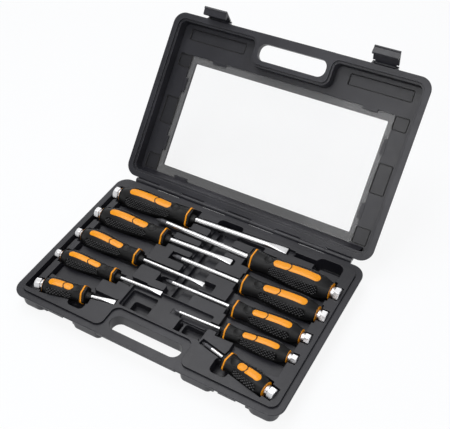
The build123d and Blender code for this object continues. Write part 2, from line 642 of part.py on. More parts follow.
def lid_outer_shell():
    """Lid pan with its window, rim, handle half, latch ears and hinge knuckles."""
    top = RIM_Z + LID_HEIGHT
    outer = LID_CLEARANCE - LID_STEP_WIDTH + LID_WALL
    body = slab(tray_outline(outer), RIM_Z, top)
    upper = [e for e in body.edges() if abs(e.center().Z - top) < NEAR]
    shell = fillet(upper, SHELL_EDGE)
    shell += slab(tray_outline(LID_CLEARANCE + LID_BEAD), RIM_Z, RIM_Z + LID_STEP + LID_BEAD)
    shell += rim_plate(RIM_Z, RIM_Z + RIM_THICKNESS)
    handle_top = RIM_Z + HANDLE_HALF_THICKNESS
    shell += handle_plate(RIM_Z, handle_top, handle_top, HANDLE_EDGE)
    shell -= slab(tray_outline(LID_CLEARANCE), RIM_Z, RIM_Z + LID_STEP)
    shell -= slab(lid_inner(), RIM_Z, top - LID_FACE)
    shell -= handle_slot(RIM_Z, handle_top)
    shell -= slab(lid_area(WINDOW_WIDTH / 2, WINDOW_BACK, WINDOW_LENGTH, WINDOW_CORNER), RIM_Z, top)
    shell += back_slope()
    for side in (-1, 1):
        shell += latch_ears(side)
    for index in range(1, KNUCKLES, 2):
        shell += knuckle(index, RIM_Z, RIM_Z + RIM_THICKNESS)
    return lid_place(shell)


def back_slope():
    """Sloping inner wall along the hinge side of the lid."""
    wall_y = TRAY_DEPTH / 2 + LID_CLEARANCE - LID_STEP_WIDTH
    foot_y = BACK_Y - PANEL_OPENING_BACK + PANE_SIDE_GAP
    half = TRAY_WIDTH / 2 - TRAY_CORNER
    return side_profile([(wall_y + LID_WALL / 2, RIM_Z + LID_STEP), (wall_y, RIM_Z + LID_STEP),
                         (foot_y, RIM_Z + PANEL_DEPTH - NEAR),
                         (wall_y + LID_WALL / 2, RIM_Z + PANEL_DEPTH - NEAR)], -half, half)


def latch_ears(side):
    """Pair of ears on the lid's rim that carry one latch's pin."""
    ears = []
    for hand in (-1, 1):
        outer = side * LATCH_SPACING / 2 + hand * LATCH_WIDTH / 2
        low, high = sorted((outer, outer - hand * LATCH_EAR))
        root_y = -(TRAY_DEPTH / 2 + LID_CLEARANCE + LID_BEAD / 2)
        ear = side_profile([(root_y, RIM_Z), (root_y, RIM_Z + LATCH_EAR_HEIGHT),
                            (LATCH_Y, LATCH_Z + LATCH_EAR_RADIUS),
                            (LATCH_Y, LATCH_Z - LATCH_EAR_RADIUS), (FRONT_Y, RIM_Z)], low, high)
        ear += cross_bar(LATCH_EAR_RADIUS, low, high, LATCH_Y, LATCH_Z)
        ears.append(ear - cross_bar(LATCH_PIN_RADIUS + PIN_CLEARANCE, low, high, LATCH_Y, LATCH_Z))
    return ears[0] + ears[1]


def pane_area(grow=0.0):
    """Outline of the clear pane."""
    half = PANEL_OPENING_WIDTH / 2 + PANE_OVERLAP
    back_gap = PANEL_OPENING_BACK - PANE_OVERLAP + PANE_SIDE_GAP + NEAR
    back = max(back_gap, BACK_Y - TRAY_DEPTH / 2 - LID_CLEARANCE + LID_STEP_WIDTH + 2 * PANE_SIDE_GAP)
    length = PANEL_OPENING_BACK + PANEL_OPENING_LENGTH + PANE_OVERLAP - back
    return lid_area(half, back, length, PANEL_CORNER, grow)


def window_pane():
    """Clear sheet between the lid's outer face and its inner panel."""
    face_z = RIM_Z + LID_HEIGHT - LID_FACE
    return lid_place(slab(pane_area(), face_z - PANE_THICKNESS, face_z))


def panel_notches():
    """Shallow notches in the panel at both sides of its opening."""
    half = PANEL_OPENING_WIDTH / 2 + NOTCH_REACH
    low = RIM_Z + PANEL_DEPTH
    notches = Part()
    for start, end in NOTCH_SPANS:
        notches += block(-half, half, BACK_Y - end, BACK_Y - start, low, low + PANEL_SKIN)
    return notches


def panel_tabs():
    """Bulges on the opening's edge that hold the pane in."""
    half, far_back = PANEL_OPENING_WIDTH / 2, PANEL_OPENING_BACK + PANEL_OPENING_LENGTH
    low, high = RIM_Z + PANEL_DEPTH - TAB_PROUD, RIM_Z + PANEL_DEPTH + PANEL_SKIN
    tabs = Part()
    for x in FRONT_TABS:
        tabs += block(x - TAB_LENGTH / 2, x + TAB_LENGTH / 2, BACK_Y - far_back - TAB_ROOT,
                      BACK_Y - far_back + TAB_REACH, low, high)
    back_y = BACK_Y - PANEL_OPENING_BACK
    tabs += block(BACK_TAB - TAB_LENGTH / 2, BACK_TAB + TAB_LENGTH / 2, back_y - TAB_REACH,
                  back_y + TAB_ROOT, low + TAB_PROUD, high)
    for back in SIDE_TABS:
        for side in (-1, 1):
            x_low, x_high = sorted((side * (half - TAB_REACH), side * (half + TAB_ROOT)))
            y = BACK_Y - back
            tabs += block(x_low, x_high, y - TAB_LENGTH / 2, y + TAB_LENGTH / 2, low, high)
    return tabs


def lid_inner_panel():
    """Frame inside the lid, round the window, which holds the pane down."""
    low, high = RIM_Z + PANEL_DEPTH, RIM_Z + LID_HEIGHT - LID_FACE
    panel = slab(lid_inner(TRAY_GAP), low, high)
    panel -= slab(pane_area(PANE_SIDE_GAP), low + PANEL_SKIN, high)
    opening = lid_area(PANEL_OPENING_WIDTH / 2, PANEL_OPENING_BACK, PANEL_OPENING_LENGTH,
                       PANEL_CORNER)
    panel -= slab(opening, low, high)
    panel -= panel_notches()
    for side in (-1, 1):
        x = side * FINGER_RECESS_CENTRE
        recess = rounded_area(x - FINGER_RECESS_WIDTH / 2, x + FINGER_RECESS_WIDTH / 2,
                              BACK_Y - FINGER_RECESS_BACK - FINGER_RECESS_LENGTH,
                              BACK_Y - FINGER_RECESS_BACK, PANEL_CORNER)
        panel -= slab(recess, low, low + FINGER_RECESS_DEPTH)
    panel += panel_tabs()
    return lid_place(panel)


# ---- latches -----------------------------------------------------------------------
def latch_x(side):
    """Left and right edges of a latch."""
    middle = side * LATCH_SPACING / 2
    return middle - LATCH_WIDTH / 2, middle + LATCH_WIDTH / 2


def latch(side, open_angle):
    """One latch: barrel between the lid's ears, plate, and a hook that grips the catch."""
    left, right = latch_x(side)
    inset = LATCH_EAR + LATCH_EAR_GAP
    outer_y, inner_y = LATCH_Y - LATCH_BARREL, LATCH_Y - LATCH_BARREL + LATCH_PLATE
    end_z, shoulder_z = LATCH_Z - LATCH_LENGTH, LATCH_Z - LATCH_SHOULDER
    body = cross_bar(LATCH_BARREL, left + inset, right - inset, LATCH_Y, LATCH_Z)
    body += block(left + inset, right - inset, outer_y, inner_y, shoulder_z - NEAR, LATCH_Z)
    body += block(left, right, outer_y, inner_y, end_z, shoulder_z)
    hook_top, tip_y = CATCH_BOTTOM_Z - LATCH_HOOK_GAP, CATCH_FRONT_Y + LATCH_GRIP
    body += side_profile([(outer_y, end_z), (tip_y, end_z + LATCH_HOOK_SLOPE), (tip_y, hook_top),
                          (outer_y, hook_top)], left, right)
    body -= cross_bar(LATCH_PIN_RADIUS + PIN_CLEARANCE, left, right, LATCH_Y, LATCH_Z)
    return lid_place(body.rotate(LATCH_AXIS, -open_angle))


def latch_pin(side):
    """Steel pin that one latch turns on, held by the lid's ears."""
    left, right = latch_x(side)
    return lid_place(cross_bar(LATCH_PIN_RADIUS, left, right, LATCH_Y, LATCH_Z))


# ---- screwdrivers ------------------------------------------------------------------
def collar(handle, low, high, share=1.0):
    """Hexagon with round corners, between two places along the handle."""
    size = handle.front_ring * share
    outline = RegularPolygon(size * RING_CORNER_SHARE, HEX_SIDES)
    outline = fillet(outline.vertices(), size * RING_CORNER_ROUND)
    return Pos(low, 0, 0) * extrude(Plane.YZ * outline, high - low)


def grip_form(handle):
    """Form of a grip between its rings, along +X from the rear ring's centre."""
    span = handle.ring_span
    rear, front = REAR_RING_WIDTH / 2, span - RING_WIDTH / 2
    waist = handle.front_ring * GRIP_WAIST_SHARE
    curve = Spline((rear, handle.rear_ring), (span * GRIP_BELLY_AT, handle.belly),
                   (span * GRIP_WAIST_AT, waist), (front, handle.front_ring))
    edge = Polyline((front, handle.front_ring), (front, 0), (rear, 0), (rear, handle.rear_ring))
    form = revolve(make_face(curve + edge), Axis.X)
    waist_x = span * GRIP_WAIST_AT
    mouth = cross_bar(2 * handle.belly, waist_x, span, 0, 0) - collar(handle, waist_x, span)
    return form - mouth


def inlay_area(handle, span_share, grow=0.0):
    """Outline of one inlay, seen from above."""
    half = handle.front_ring * INLAY_WIDTH_SHARE / 2
    low, high = (share * handle.ring_span for share in span_share)
    return rounded_area(low - grow, high + grow, -half - grow, half + grow,
                        2 * half * INLAY_ROUND + grow)


def inlay_window(handle, grow):
    """Upright prisms over the two inlays, the long one hollowed round the short one's end."""
    short = inlay_area(handle, SHORT_INLAY, grow)
    long = inlay_area(handle, LONG_INLAY, grow) - inlay_area(handle, SHORT_INLAY, INLAY_GAP - grow)
    low, high = LONG_INLAY[0] * handle.ring_span - grow, SHORT_INLAY[0] * handle.ring_span
    long &= Pos((low + high) / 2, 0) * Rectangle(high - low + handle.front_ring * INLAY_ROUND,
                                                 2 * handle.front_ring)
    return slab(short, 0, 2 * handle.belly) + slab(long, 0, 2 * handle.belly)


def thumb_cut(handle):
    """Round hollow on top of the grip for the thumb."""
    x = handle.ring_span * THUMB_AT
    surface = handle.front_ring * GRIP_WAIST_SHARE
    return Pos(x, 0, surface + THUMB_RADIUS - THUMB_DEPTH) * Sphere(THUMB_RADIUS)


def tool_core(tool):
    """Hard core: rod, the two rings and the inlays that show through the grip."""
    handle = tool.handle
    rod = cross_bar(handle.rear_ring * CORE_SHARE, 0, handle.ring_span, 0, 0)
    rod += (grip_form(handle) - thumb_cut(handle)) & inlay_window(handle, 0)
    rear, front = REAR_RING_WIDTH / 2, RING_WIDTH / 2
    rod += cross_bar(handle.rear_ring + RING_PROUD, -rear, rear, 0, 0)
    rod += collar(handle, handle.ring_span - front, handle.ring_span + front,
                  1 + RING_PROUD / handle.front_ring)
    return rod - cross_bar(tool.shank + CORE_FIT, -rear, handle.ring_span + front, 0, 0)


def tool_grip(tool):
    """Soft grip over the core, with the nose in front of the front ring."""
    handle = tool.handle
    body = grip_form(handle) - thumb_cut(handle)
    body -= cross_bar(handle.rear_ring * CORE_SHARE + CORE_FIT, 0, handle.ring_span, 0, 0)
    body -= inlay_window(handle, CORE_FIT)
    flange_x = handle.ring_span + RING_WIDTH / 2
    cone_x = flange_x + NOSE_FLANGE
    flange = handle.front_ring * NOSE_FLANGE_SHARE
    nose = collar(handle, flange_x, cone_x, NOSE_FLANGE_SHARE)
    nose += revolve(make_face(Polyline(
        (flange_x, 0), (flange_x, flange / 2), (cone_x, flange / 2),
        (cone_x + NOSE_LENGTH, tool.shank + NOSE_LIP), (cone_x + NOSE_LENGTH, 0), close=True)), Axis.X)
    nose -= cross_bar(tool.shank + CORE_FIT, flange_x, cone_x + NOSE_LENGTH, 0, 0)
    return body + nose


def strike_cap(tool):
    """Hexagonal steel cap at the rear end."""
    handle = tool.handle
    length = handle.cap_reach - REAR_RING_WIDTH / 2
    cap = extrude(Plane.YZ * RegularPolygon(handle.cap_radius, HEX_SIDES), length)
    end = cap.faces().sort_by(Axis.X)[0]
    return Pos(-handle.cap_reach, 0, 0) * chamfer(end.edges(), CAP_CHAMFER)


def slotted_end(tool):
    """Flat flared end of a slotted blade, from x = 0."""
    radius, wide = tool.shank, tool.shank * SLOT_TIP_FLARE
    length = radius * SLOT_TIP_LENGTH_SHARE
    widest, end = length * SLOT_TIP_WIDEST, wide * SLOT_TIP_END
    plan = make_face(Polyline((0, -radius), (widest, -wide), (length, -end), (length, end),
                              (widest, wide), (0, radius), close=True))
    thin = length * SLOT_TIP_THIN
    side = make_face(Plane.XZ * Polyline((0, -radius), (thin, -SLOT_TIP_EDGE), (length, -SLOT_TIP_EDGE),
                                         (length, SLOT_TIP_EDGE), (thin, SLOT_TIP_EDGE), (0, radius),
                                         close=True))
    return slab(plan, -radius, radius) & extrude(side, amount=wide, both=True)


def crosshead_end(tool):
    """Pointed end of a crosshead blade with its four flutes, from x = 0."""
    radius = tool.shank
    length, end = radius * CROSS_TIP_LENGTH_SHARE, radius * CROSS_TIP_END_SHARE
    tip = revolve(make_face(Polyline((0, 0), (0, radius), (length, end), (length, 0), close=True)),
                  Axis.X)
    for index in range(CROSS_FLUTES):
        turn = (index + 1 / 2) * 360 / CROSS_FLUTES
        flute = Pos(length * FLUTE_START, 0, 0) * Rot(turn, 0, 0) * (
            Pos(0, end, end) * Box(length, radius, radius, align=(Align.MIN, Align.MIN, Align.MIN)))
        tip -= flute
    return tip


def tool_blade(tool):
    """Steel blade with its tang through the core."""
    start, end = -REAR_RING_WIDTH / 2, tool.handle.ring_span + tool.reach
    if tool.crosshead:
        shank_end = end - tool.shank * CROSS_TIP_LENGTH_SHARE
        tip = crosshead_end(tool)
    else:
        shank_end = end - tool.shank * SLOT_TIP_LENGTH_SHARE
        tip = slotted_end(tool)
    return cross_bar(tool.shank, start, shank_end, 0, 0) + Pos(shank_end, 0, 0) * tip


def tool_pieces(tool):
    """Every piece of one screwdriver, in its place in the tray."""
    place = tool_place(tool) * Pos(tool.handle.cap_reach, 0, 0)
    return {f"{tool.name}_blade": place * tool_blade(tool),
            f"{tool.name}_strike_cap": place * strike_cap(tool),
            f"{tool.name}_core": place * tool_core(tool),
            f"{tool.name}_grip": place * tool_grip(tool)}


# ---- whole case --------------------------------------------------------------------
def case_pieces():
    """Every node by name."""
    pieces = {"base_outer_shell": base_outer_shell(), "base_tray": base_tray(),
              "hinge_pin": hinge_pin(), "lid_outer_shell": lid_outer_shell(),
              "lid_inner_panel": lid_inner_panel(), "window_pane": window_pane()}
    for label, side, angle in (("left", -1, LEFT_LATCH_OPEN), ("right", 1, RIGHT_LATCH_OPEN)):
        pieces[f"latch_{label}"] = latch(side, angle)
        pieces[f"latch_pin_{label}"] = latch_pin(side)
    for tool in TOOLS:
        pieces.update(tool_pieces(tool))
    return pieces


def main():
    """Write one STEP file per node."""
    os.makedirs("parts", exist_ok=True)
    for name, shape in case_pieces().items():
        export_step(shape, f"parts/{name}.step")


main()
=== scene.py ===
"""Looks of an open hard case with a ten piece screwdriver set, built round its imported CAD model."""
from __future__ import annotations

import logging
import math
from dataclasses import dataclass
from enum import Enum
from typing import Any, Iterable, Sequence

import bmesh
import bpy
from mathutils import Matrix, Vector
from mathutils.bvhtree import BVHTree


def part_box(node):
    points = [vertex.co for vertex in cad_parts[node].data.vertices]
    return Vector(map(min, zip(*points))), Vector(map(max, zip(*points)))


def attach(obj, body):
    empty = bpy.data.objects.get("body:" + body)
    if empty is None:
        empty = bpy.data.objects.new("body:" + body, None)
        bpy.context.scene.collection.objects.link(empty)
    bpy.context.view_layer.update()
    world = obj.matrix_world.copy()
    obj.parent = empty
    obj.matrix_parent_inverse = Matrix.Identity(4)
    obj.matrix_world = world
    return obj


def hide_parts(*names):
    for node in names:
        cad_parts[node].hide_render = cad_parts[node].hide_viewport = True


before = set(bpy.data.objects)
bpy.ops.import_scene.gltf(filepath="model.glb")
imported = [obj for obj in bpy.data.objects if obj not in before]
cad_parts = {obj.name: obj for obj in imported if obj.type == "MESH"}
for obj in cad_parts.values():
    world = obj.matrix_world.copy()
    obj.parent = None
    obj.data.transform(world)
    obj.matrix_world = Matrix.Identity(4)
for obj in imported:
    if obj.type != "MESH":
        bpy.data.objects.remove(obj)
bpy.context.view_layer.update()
LOG = logging.getLogger("tool_case")
MM = 0.001
UP = Vector((0.0, 0.0, 1.0))


# ---- shader helpers ----------------------------------------------------------------
class Signal:
    """One output of a shader node, on which arithmetic adds Math nodes."""

    def __init__(self, graph: "Graph", socket: bpy.types.NodeSocket) -> None:
        """Wraps a socket of a graph."""
        self.graph = graph
        self.socket = socket

    def math(self, operation: str, *others: Any, swap: bool = False) -> "Signal":
        """Joins this signal and others with one Math node.

        Args:
            operation: Name of the Math node's operation.
            others: Numbers or signals for its other inputs.
            swap: True where this signal is the second input.

        Returns:
            The Math node's output.
        """
        values = [*others, self] if swap else [self, *others]
        node = self.graph.add("ShaderNodeMath", {"operation": operation}, dict(enumerate(values)))
        return Signal(self.graph, node.outputs[0])

    def __add__(self, other: Any) -> "Signal":
        """Sum."""
        return self.math("ADD", other)

    def __radd__(self, other: Any) -> "Signal":
        """Sum with a number on the left."""
        return self.math("ADD", other, swap=True)

    def __sub__(self, other: Any) -> "Signal":
        """Difference."""
        return self.math("SUBTRACT", other)

    def __rsub__(self, other: Any) -> "Signal":
        """Difference from a number."""
        return self.math("SUBTRACT", other, swap=True)

    def __mul__(self, other: Any) -> "Signal":
        """Product."""
        return self.math("MULTIPLY", other)

    def __rmul__(self, other: Any) -> "Signal":
        """Product with a number on the left."""
        return self.math("MULTIPLY", other, swap=True)

    def smooth(self, low: float, high: float) -> "Signal":
        """Smooth step.

        Args:
            low: Value below which it is 0.
            high: Value above which it is 1.

        Returns:
            The step, from 0 to 1.
        """
        node = self.graph.add("ShaderNodeMapRange", {"interpolation_type": "SMOOTHSTEP"},
                              {"Value": self, "From Min": low, "From Max": high})
        return Signal(self.graph, node.outputs["Result"])


class Tree:
    """Node tree whose nodes are all added in one way."""

    def __init__(self, tree: bpy.types.NodeTree) -> None:
        """Wraps a node tree."""
        self.tree = tree

    def add(self, kind: str, settings: dict[str, Any] | None = None,
            inputs: dict[str | int, Any] | None = None) -> bpy.types.Node:
        """Adds one node.

        Args:
            kind: The node's type.
            settings: Attributes, which are set first.
            inputs: Values, signals or sockets for its inputs, by name or number.

        Returns:
            The new node.
        """
        node = self.tree.nodes.new(kind)
        for key, value in (settings or {}).items():
            setattr(node, key, value)
        for key, value in (inputs or {}).items():
            if isinstance(value, Signal):
                value = value.socket
            if isinstance(value, bpy.types.NodeSocket):
                self.tree.links.new(value, node.inputs[key])
            else:
                node.inputs[key].default_value = value
        return node


class Graph(Tree):
    """Node tree of one material."""

    def __init__(self, name: str) -> None:
        """Makes an empty material.

        Args:
            name: The material's name.
        """
        self.material = bpy.data.materials.new(name)
        self.material.use_nodes = True
        super().__init__(self.material.node_tree)
        self.tree.nodes.clear()

    def place(self) -> bpy.types.NodeSocket:
        """Object coordinates, in metres."""
        return self.add("ShaderNodeTexCoord").outputs["Object"]

    def along(self, direction: Sequence[float]) -> Signal:
        """Distance along a direction, from the object coordinates' origin.

        Args:
            direction: The direction, of length 1.

        Returns:
            The distance, in metres.
        """
        node = self.add("ShaderNodeVectorMath", {"operation": "DOT_PRODUCT"},
                        {0: self.place(), 1: tuple(direction)})
        return Signal(self, node.outputs["Value"])

    def noise(self, size: float, detail: float, stretch: Sequence[float] = (1, 1, 1)) -> Signal:
        """Noise whose features are about that many metres across.

        Args:
            size: Width of the largest features.
            detail: Number of finer layers.
            stretch: How much longer than wide the features are along X, Y and Z.

        Returns:
            The noise, from 0 to 1.
        """
        scaled = self.add("ShaderNodeMapping", None,
                          {"Vector": self.place(), "Scale": tuple(1 / s for s in stretch)})
        node = self.add("ShaderNodeTexNoise", None,
                        {"Vector": scaled.outputs[0], "Scale": 1 / size, "Detail": detail})
        return Signal(self, node.outputs["Fac"])

    def blend(self, factor: Any, first: Any, second: Any) -> bpy.types.NodeSocket:
        """Colour between two colours."""
        node = self.add("ShaderNodeMix", {"data_type": "RGBA"}, {0: factor, 6: first, 7: second})
        return node.outputs[2]

    def relief(self, height: Signal, depth: float, strength: float,
               edge: float) -> bpy.types.NodeSocket:
        """Normal of a surface with a fine relief, whose sharp edges look rounded.

        Args:
            height: Height of the relief, from 0 to 1.
            depth: Its depth in metres.
            strength: Share of it that shows.
            edge: Radius of the rounded edges in metres.

        Returns:
            The normal.
        """
        rounded = self.add("ShaderNodeBevel", {"samples": 6}, {"Radius": edge}).outputs[0]
        return self.add("ShaderNodeBump", None,
                        {"Height": height, "Distance": depth, "Strength": strength,
                         "Normal": rounded}).outputs[0]

    def surface(self, **values: Any) -> bpy.types.NodeSocket:
        """Principled surface; underscores in names stand for spaces."""
        named = {key.replace("_", " "): value for key, value in values.items()}
        return self.add("ShaderNodeBsdfPrincipled", None, named).outputs[0]

    def output(self, shader: bpy.types.NodeSocket) -> bpy.types.Material:
        """Joins a shader to the output and gives the finished material."""
        self.add("ShaderNodeOutputMaterial", None, {"Surface": shader})
        return self.material


def grey(level: float, blue: float = 1.0) -> tuple[float, float, float, float]:
    """Grey with an optional blue cast."""
    return (level, level, level * blue, 1.0)


# ---- the open lid ------------------------------------------------------------------
@dataclass(frozen=True)
class LidPlane:
    """The lid as it stands open, on which places are given as on the shut lid."""
    opening: float = math.radians(133.7)    # from shut to the pose of the photograph
    rear_edge: float = 128.35 * MM          # of the rim, from the middle of the case

    def turn(self) -> Matrix:
        """Rotation from the shut lid to the open one."""
        return Matrix.Rotation(-self.opening, 3, "X")

    def place(self, across: float, back: float, height: float) -> Vector:
        """Carries a place on the shut lid to where it stands open.

        Args:
            across: Its place from left to right.
            back: Its distance from the rim's rear edge.
            height: Its height above the floor.

        Returns:
            The place on the open lid.
        """
        low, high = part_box("hinge_pin")
        hinge = (Vector(low) + Vector(high)) / 2
        return hinge + self.turn() @ (Vector((across, self.rear_edge - back, height)) - hinge)


# ---- finishes ----------------------------------------------------------------------
@dataclass(frozen=True)
class Plastic:
    """What the plastics and the rubber share: dull patches, a fine grain and eased edges."""
    name: str
    gloss: float = 0.5
    roughness: float = 0.33
    spread: float = 0.14                        # added roughness of the dull patches
    patch: float = 9 * MM                       # size of the dull patches
    layers: float = 4                           # finer layers of the dull patches
    grain: float = 0.45 * MM
    depth: float = 0.03 * MM                    # of the grain
    strength: float = 0.5                       # share of the grain that shows
    edge: float = 1.2 * MM                      # over which the edges look rounded

    def colour(self, graph: Graph) -> bpy.types.NodeSocket:
        """Colour, which each kind of plastic works out for itself."""
        raise NotImplementedError

    def material(self) -> bpy.types.Material:
        """Builds the material.

        Returns:
            The material.
        """
        graph = Graph(self.name)
        rough = graph.noise(self.patch, self.layers) * self.spread + self.roughness
        normal = graph.relief(graph.noise(self.grain, 2), self.depth, self.strength, self.edge)
        return graph.output(graph.surface(Base_Color=self.colour(graph), Roughness=rough,
                                          Normal=normal, Specular_IOR_Level=self.gloss))


@dataclass(frozen=True)
class MouldedPlastic(Plastic):
    """Satin black plastic with a fine spark texture."""
    shade: float = 0.012
    rub: float = 0.023                          # shade of its rubbed patches
    blue: tuple[float, float] = (1.4, 1.3)      # cast of the shade and of the rub
    cloud: float = 60 * MM                      # size of the rubbed patches
    rubbed: tuple[float, float] = (0.35, 0.75)  # noise where a patch begins and where it is full

    def colour(self, graph: Graph) -> bpy.types.NodeSocket:
        """Black that is greyer where it is rubbed."""
        rubbed = graph.noise(self.cloud, 3).smooth(*self.rubbed)
        return graph.blend(rubbed, grey(self.shade, self.blue[0]), grey(self.rub, self.blue[1]))


@dataclass(frozen=True)
class GripRubber(Plastic):
    """Soft black grip, a little greyer where it is dusty."""
    name: str = "grip_rubber"
    gloss: float = 0.32
    roughness: float = 0.4
    spread: float = 0.16
    patch: float = 4 * MM
    layers: float = 3
    grain: float = 0.35 * MM
    edge: float = 0.5 * MM
    shade: float = 0.005
    dusty: float = 2.0                          # shade of the dust, in shades of the rubber
    blue: float = 1.08
    cloud: float = 7 * MM                       # size of the dusty patches
    dusted: tuple[float, float] = (0.5, 0.8)    # noise where a patch begins and where it is full

    def colour(self, graph: Graph) -> bpy.types.NodeSocket:
        """Black that is greyer where it is dusty."""
        dust = graph.noise(self.cloud, 5).smooth(*self.dusted)
        return graph.blend(dust, grey(self.shade, self.blue),
                           grey(self.shade * self.dusty, self.blue))


@dataclass(frozen=True)
class OrangePlastic(Plastic):
    """Semi-gloss orange plastic of the rings and inlays."""
    name: str = "handle_orange"
    gloss: float = 0.3
    roughness: float = 0.2
    spread: float = 0.1
    patch: float = 3 * MM
    layers: float = 3
    grain: float = 1.2 * MM
    depth: float = 0.02 * MM
    strength: float = 0.3
    edge: float = 0.7 * MM
    bright: tuple[float, float, float, float] = (0.93, 0.36, 0.012, 1.0)
    deep: tuple[float, float, float, float] = (0.86, 0.30, 0.008, 1.0)
    cloud: float = 12 * MM                      # size of the deeper patches

    def colour(self, graph: Graph) -> bpy.types.NodeSocket:
        """Orange that is deeper in patches."""
        return graph.blend(graph.noise(self.cloud, 2), self.bright, self.deep)


@dataclass(frozen=True)
class TipMark:
    """Blackened end of a blade: everything further than start along the direction."""
    direction: tuple[float, float, float]
    start: float
    blend: float = 0.3 * MM                     # half the width of its soft edge
    shade: float = 0.085
    blue: float = 1.1
    dull: float = 0.22                          # added roughness
    plastic: float = 0.5                        # share that isn't metal


@dataclass(frozen=True)
class PlatedSteel:
    """Bright plated steel with drawn lines, blackened beyond a mark if it has one."""
    name: str
    colour: float = 0.68
    roughness: float = 0.26
    spread: float = 0.05                        # roughness that the lines add
    blue: tuple[float, float] = (1.01, 1.02)    # cast between the lines and on them
    mark: TipMark | None = None
    line: float = 0.7 * MM                      # width of the drawn lines
    line_length: float = 150.0                  # in widths, along X
    line_shade: float = 0.95                    # of the colour
    depth: float = 0.01 * MM
    strength: float = 0.1
    edge: float = 0.3 * MM

    def material(self) -> bpy.types.Material:
        """Builds the material.

        Returns:
            The material.
        """
        graph = Graph(self.name)
        lines = graph.noise(self.line, 2, (self.line_length, 1, 1))
        colour = graph.blend(lines, grey(self.colour, self.blue[0]),
                             grey(self.colour * self.line_shade, self.blue[1]))
        rough = lines * self.spread + self.roughness
        metal: Any = 1.0
        if self.mark:
            mark = self.mark
            black = graph.along(mark.direction).smooth(mark.start - mark.blend,
                                                       mark.start + mark.blend)
            colour = graph.blend(black, colour, grey(mark.shade, mark.blue))
            rough = black * mark.dull + rough
            metal = 1.0 - black * mark.plastic
        normal = graph.relief(lines, self.depth, self.strength, self.edge)
        return graph.output(graph.surface(Base_Color=colour, Metallic=metal, Roughness=rough,
                                          Normal=normal))


@dataclass(frozen=True)
class ClearPane:
    """Clear glossy sheet that the light goes straight through, with a pale matt border that is a
    painted reflection.
    """
    name: str = "clear_pane"
    lid: LidPlane = LidPlane()
    tint: float = 0.985                         # share of the light that goes through
    shade: float = 0.8                          # of its haze and of the painted reflection on its border
    roughness: float = 0.06
    refraction: float = 1.45
    haze: float = 0.012
    smear: float = 0.01                         # of the haze, from place to place
    smear_size: float = 40 * MM
    reflection: float = 0.4                     # share of a bare sheet's reflection
    painted_reflection: float = 0.13                        # painted reflection: pale haze added beyond the window's edge
    border_blend: float = 0.3 * MM
    window: tuple[float, float] = (307.6 * MM, 160.3 * MM)      # width and length
    window_back: float = 30.0 * MM                              # from the rim's rear edge

    def _reflection_band(self, graph: Graph) -> Signal:
        """Mask of the border, where a reflection is painted.

        Args:
            graph: The material's node tree.

        Returns:
            The mask: 0 in the window and 1 beyond its edge.
        """
        width, length = self.window
        onward = self.lid.turn() @ Vector((0.0, -1.0, 0.0))
        middle = self.lid.place(0.0, self.window_back + length / 2, 0.0).dot(onward)
        beside = graph.along((1.0, 0.0, 0.0)).math("ABSOLUTE") - width / 2
        beyond = (graph.along(onward) - middle).math("ABSOLUTE") - length / 2
        return beside.math("MAXIMUM", beyond).smooth(0.0, self.border_blend)

    def material(self) -> bpy.types.Material:
        """Builds the material.

        Returns:
            The material.
        """
        graph = Graph(self.name)
        clear = graph.add("ShaderNodeBsdfTransparent", None, {"Color": grey(self.tint)}).outputs[0]
        gloss = graph.surface(Base_Color=grey(self.shade), Roughness=self.roughness)
        fresnel = graph.add("ShaderNodeFresnel", None, {"IOR": self.refraction})
        facing = Signal(graph, fresnel.outputs[0])
        haze = graph.noise(self.smear_size, 3) * self.smear + (self.haze - self.smear / 2)
        # beyond the window's edge, pale haze is a painted reflection
        factor = facing * self.reflection + haze + self._reflection_band(graph) * self.painted_reflection
        mixed = graph.add("ShaderNodeMixShader", None, {0: factor, 1: clear, 2: gloss})
        return graph.output(mixed.outputs[0])


# ---- mesh helpers ------------------------------------------------------------------
def node_points(node: str) -> list[Vector]:
    """Corner points of a CAD node's mesh.

    Args:
        node: Name of the CAD node.

    Returns:
        The points, in the case's frame.
    """
    return [vertex.co.copy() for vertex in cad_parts[node].data.vertices]


def node_surface(node: str) -> BVHTree:
    """Surface of a CAD node's mesh, for rays and nearest places.

    Args:
        node: Name of the CAD node.

    Returns:
        The surface, in the case's frame.
    """
    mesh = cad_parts[node].data
    return BVHTree.FromPolygons([vertex.co for vertex in mesh.vertices],
                                [face.vertices for face in mesh.polygons])


def finished(shape: bmesh.types.BMesh, name: str, sharp: float = 35.0) -> bpy.types.Mesh:
    """Turns a shape into a smooth mesh that keeps its sharp edges.

    Args:
        shape: The shape, which is freed.
        name: Name of the mesh.
        sharp: Edges that turn by more degrees than this stay sharp.

    Returns:
        The mesh, with its normals outward.
    """
    bmesh.ops.recalc_face_normals(shape, faces=shape.faces)
    for face in shape.faces:
        face.smooth = True
    for edge in shape.edges:
        edge.smooth = edge.calc_face_angle(0.0) < math.radians(sharp)
    mesh = bpy.data.meshes.new(name)
    shape.to_mesh(mesh)
    shape.free()
    return mesh


def add_skin(shape: bmesh.types.BMesh, rings: Sequence[Sequence[Vector]]) -> None:
    """Adds a closed skin over rings of as many points each.

    Args:
        shape: The shape it is added to.
        rings: The rings from one end to the other, whose ends are capped.
    """
    rows = [[shape.verts.new(point) for point in ring] for ring in rings]
    count = len(rows[0])
    for first, second in zip(rows, rows[1:]):
        for index in range(count):
            after = (index + 1) % count
            shape.faces.new((first[index], first[after], second[after], second[index]))
    shape.faces.new(rows[0])
    shape.faces.new(rows[-1])


def skin(name: str, rings: Sequence[Sequence[Vector]]) -> bpy.types.Mesh:
    """Closed skin over rings of as many points each.

    Args:
        name: Name of the mesh.
        rings: The rings from one end to the other, whose ends are capped.

    Returns:
        The mesh.
    """
    shape = bmesh.new()
    add_skin(shape, rings)
    return finished(shape, name)


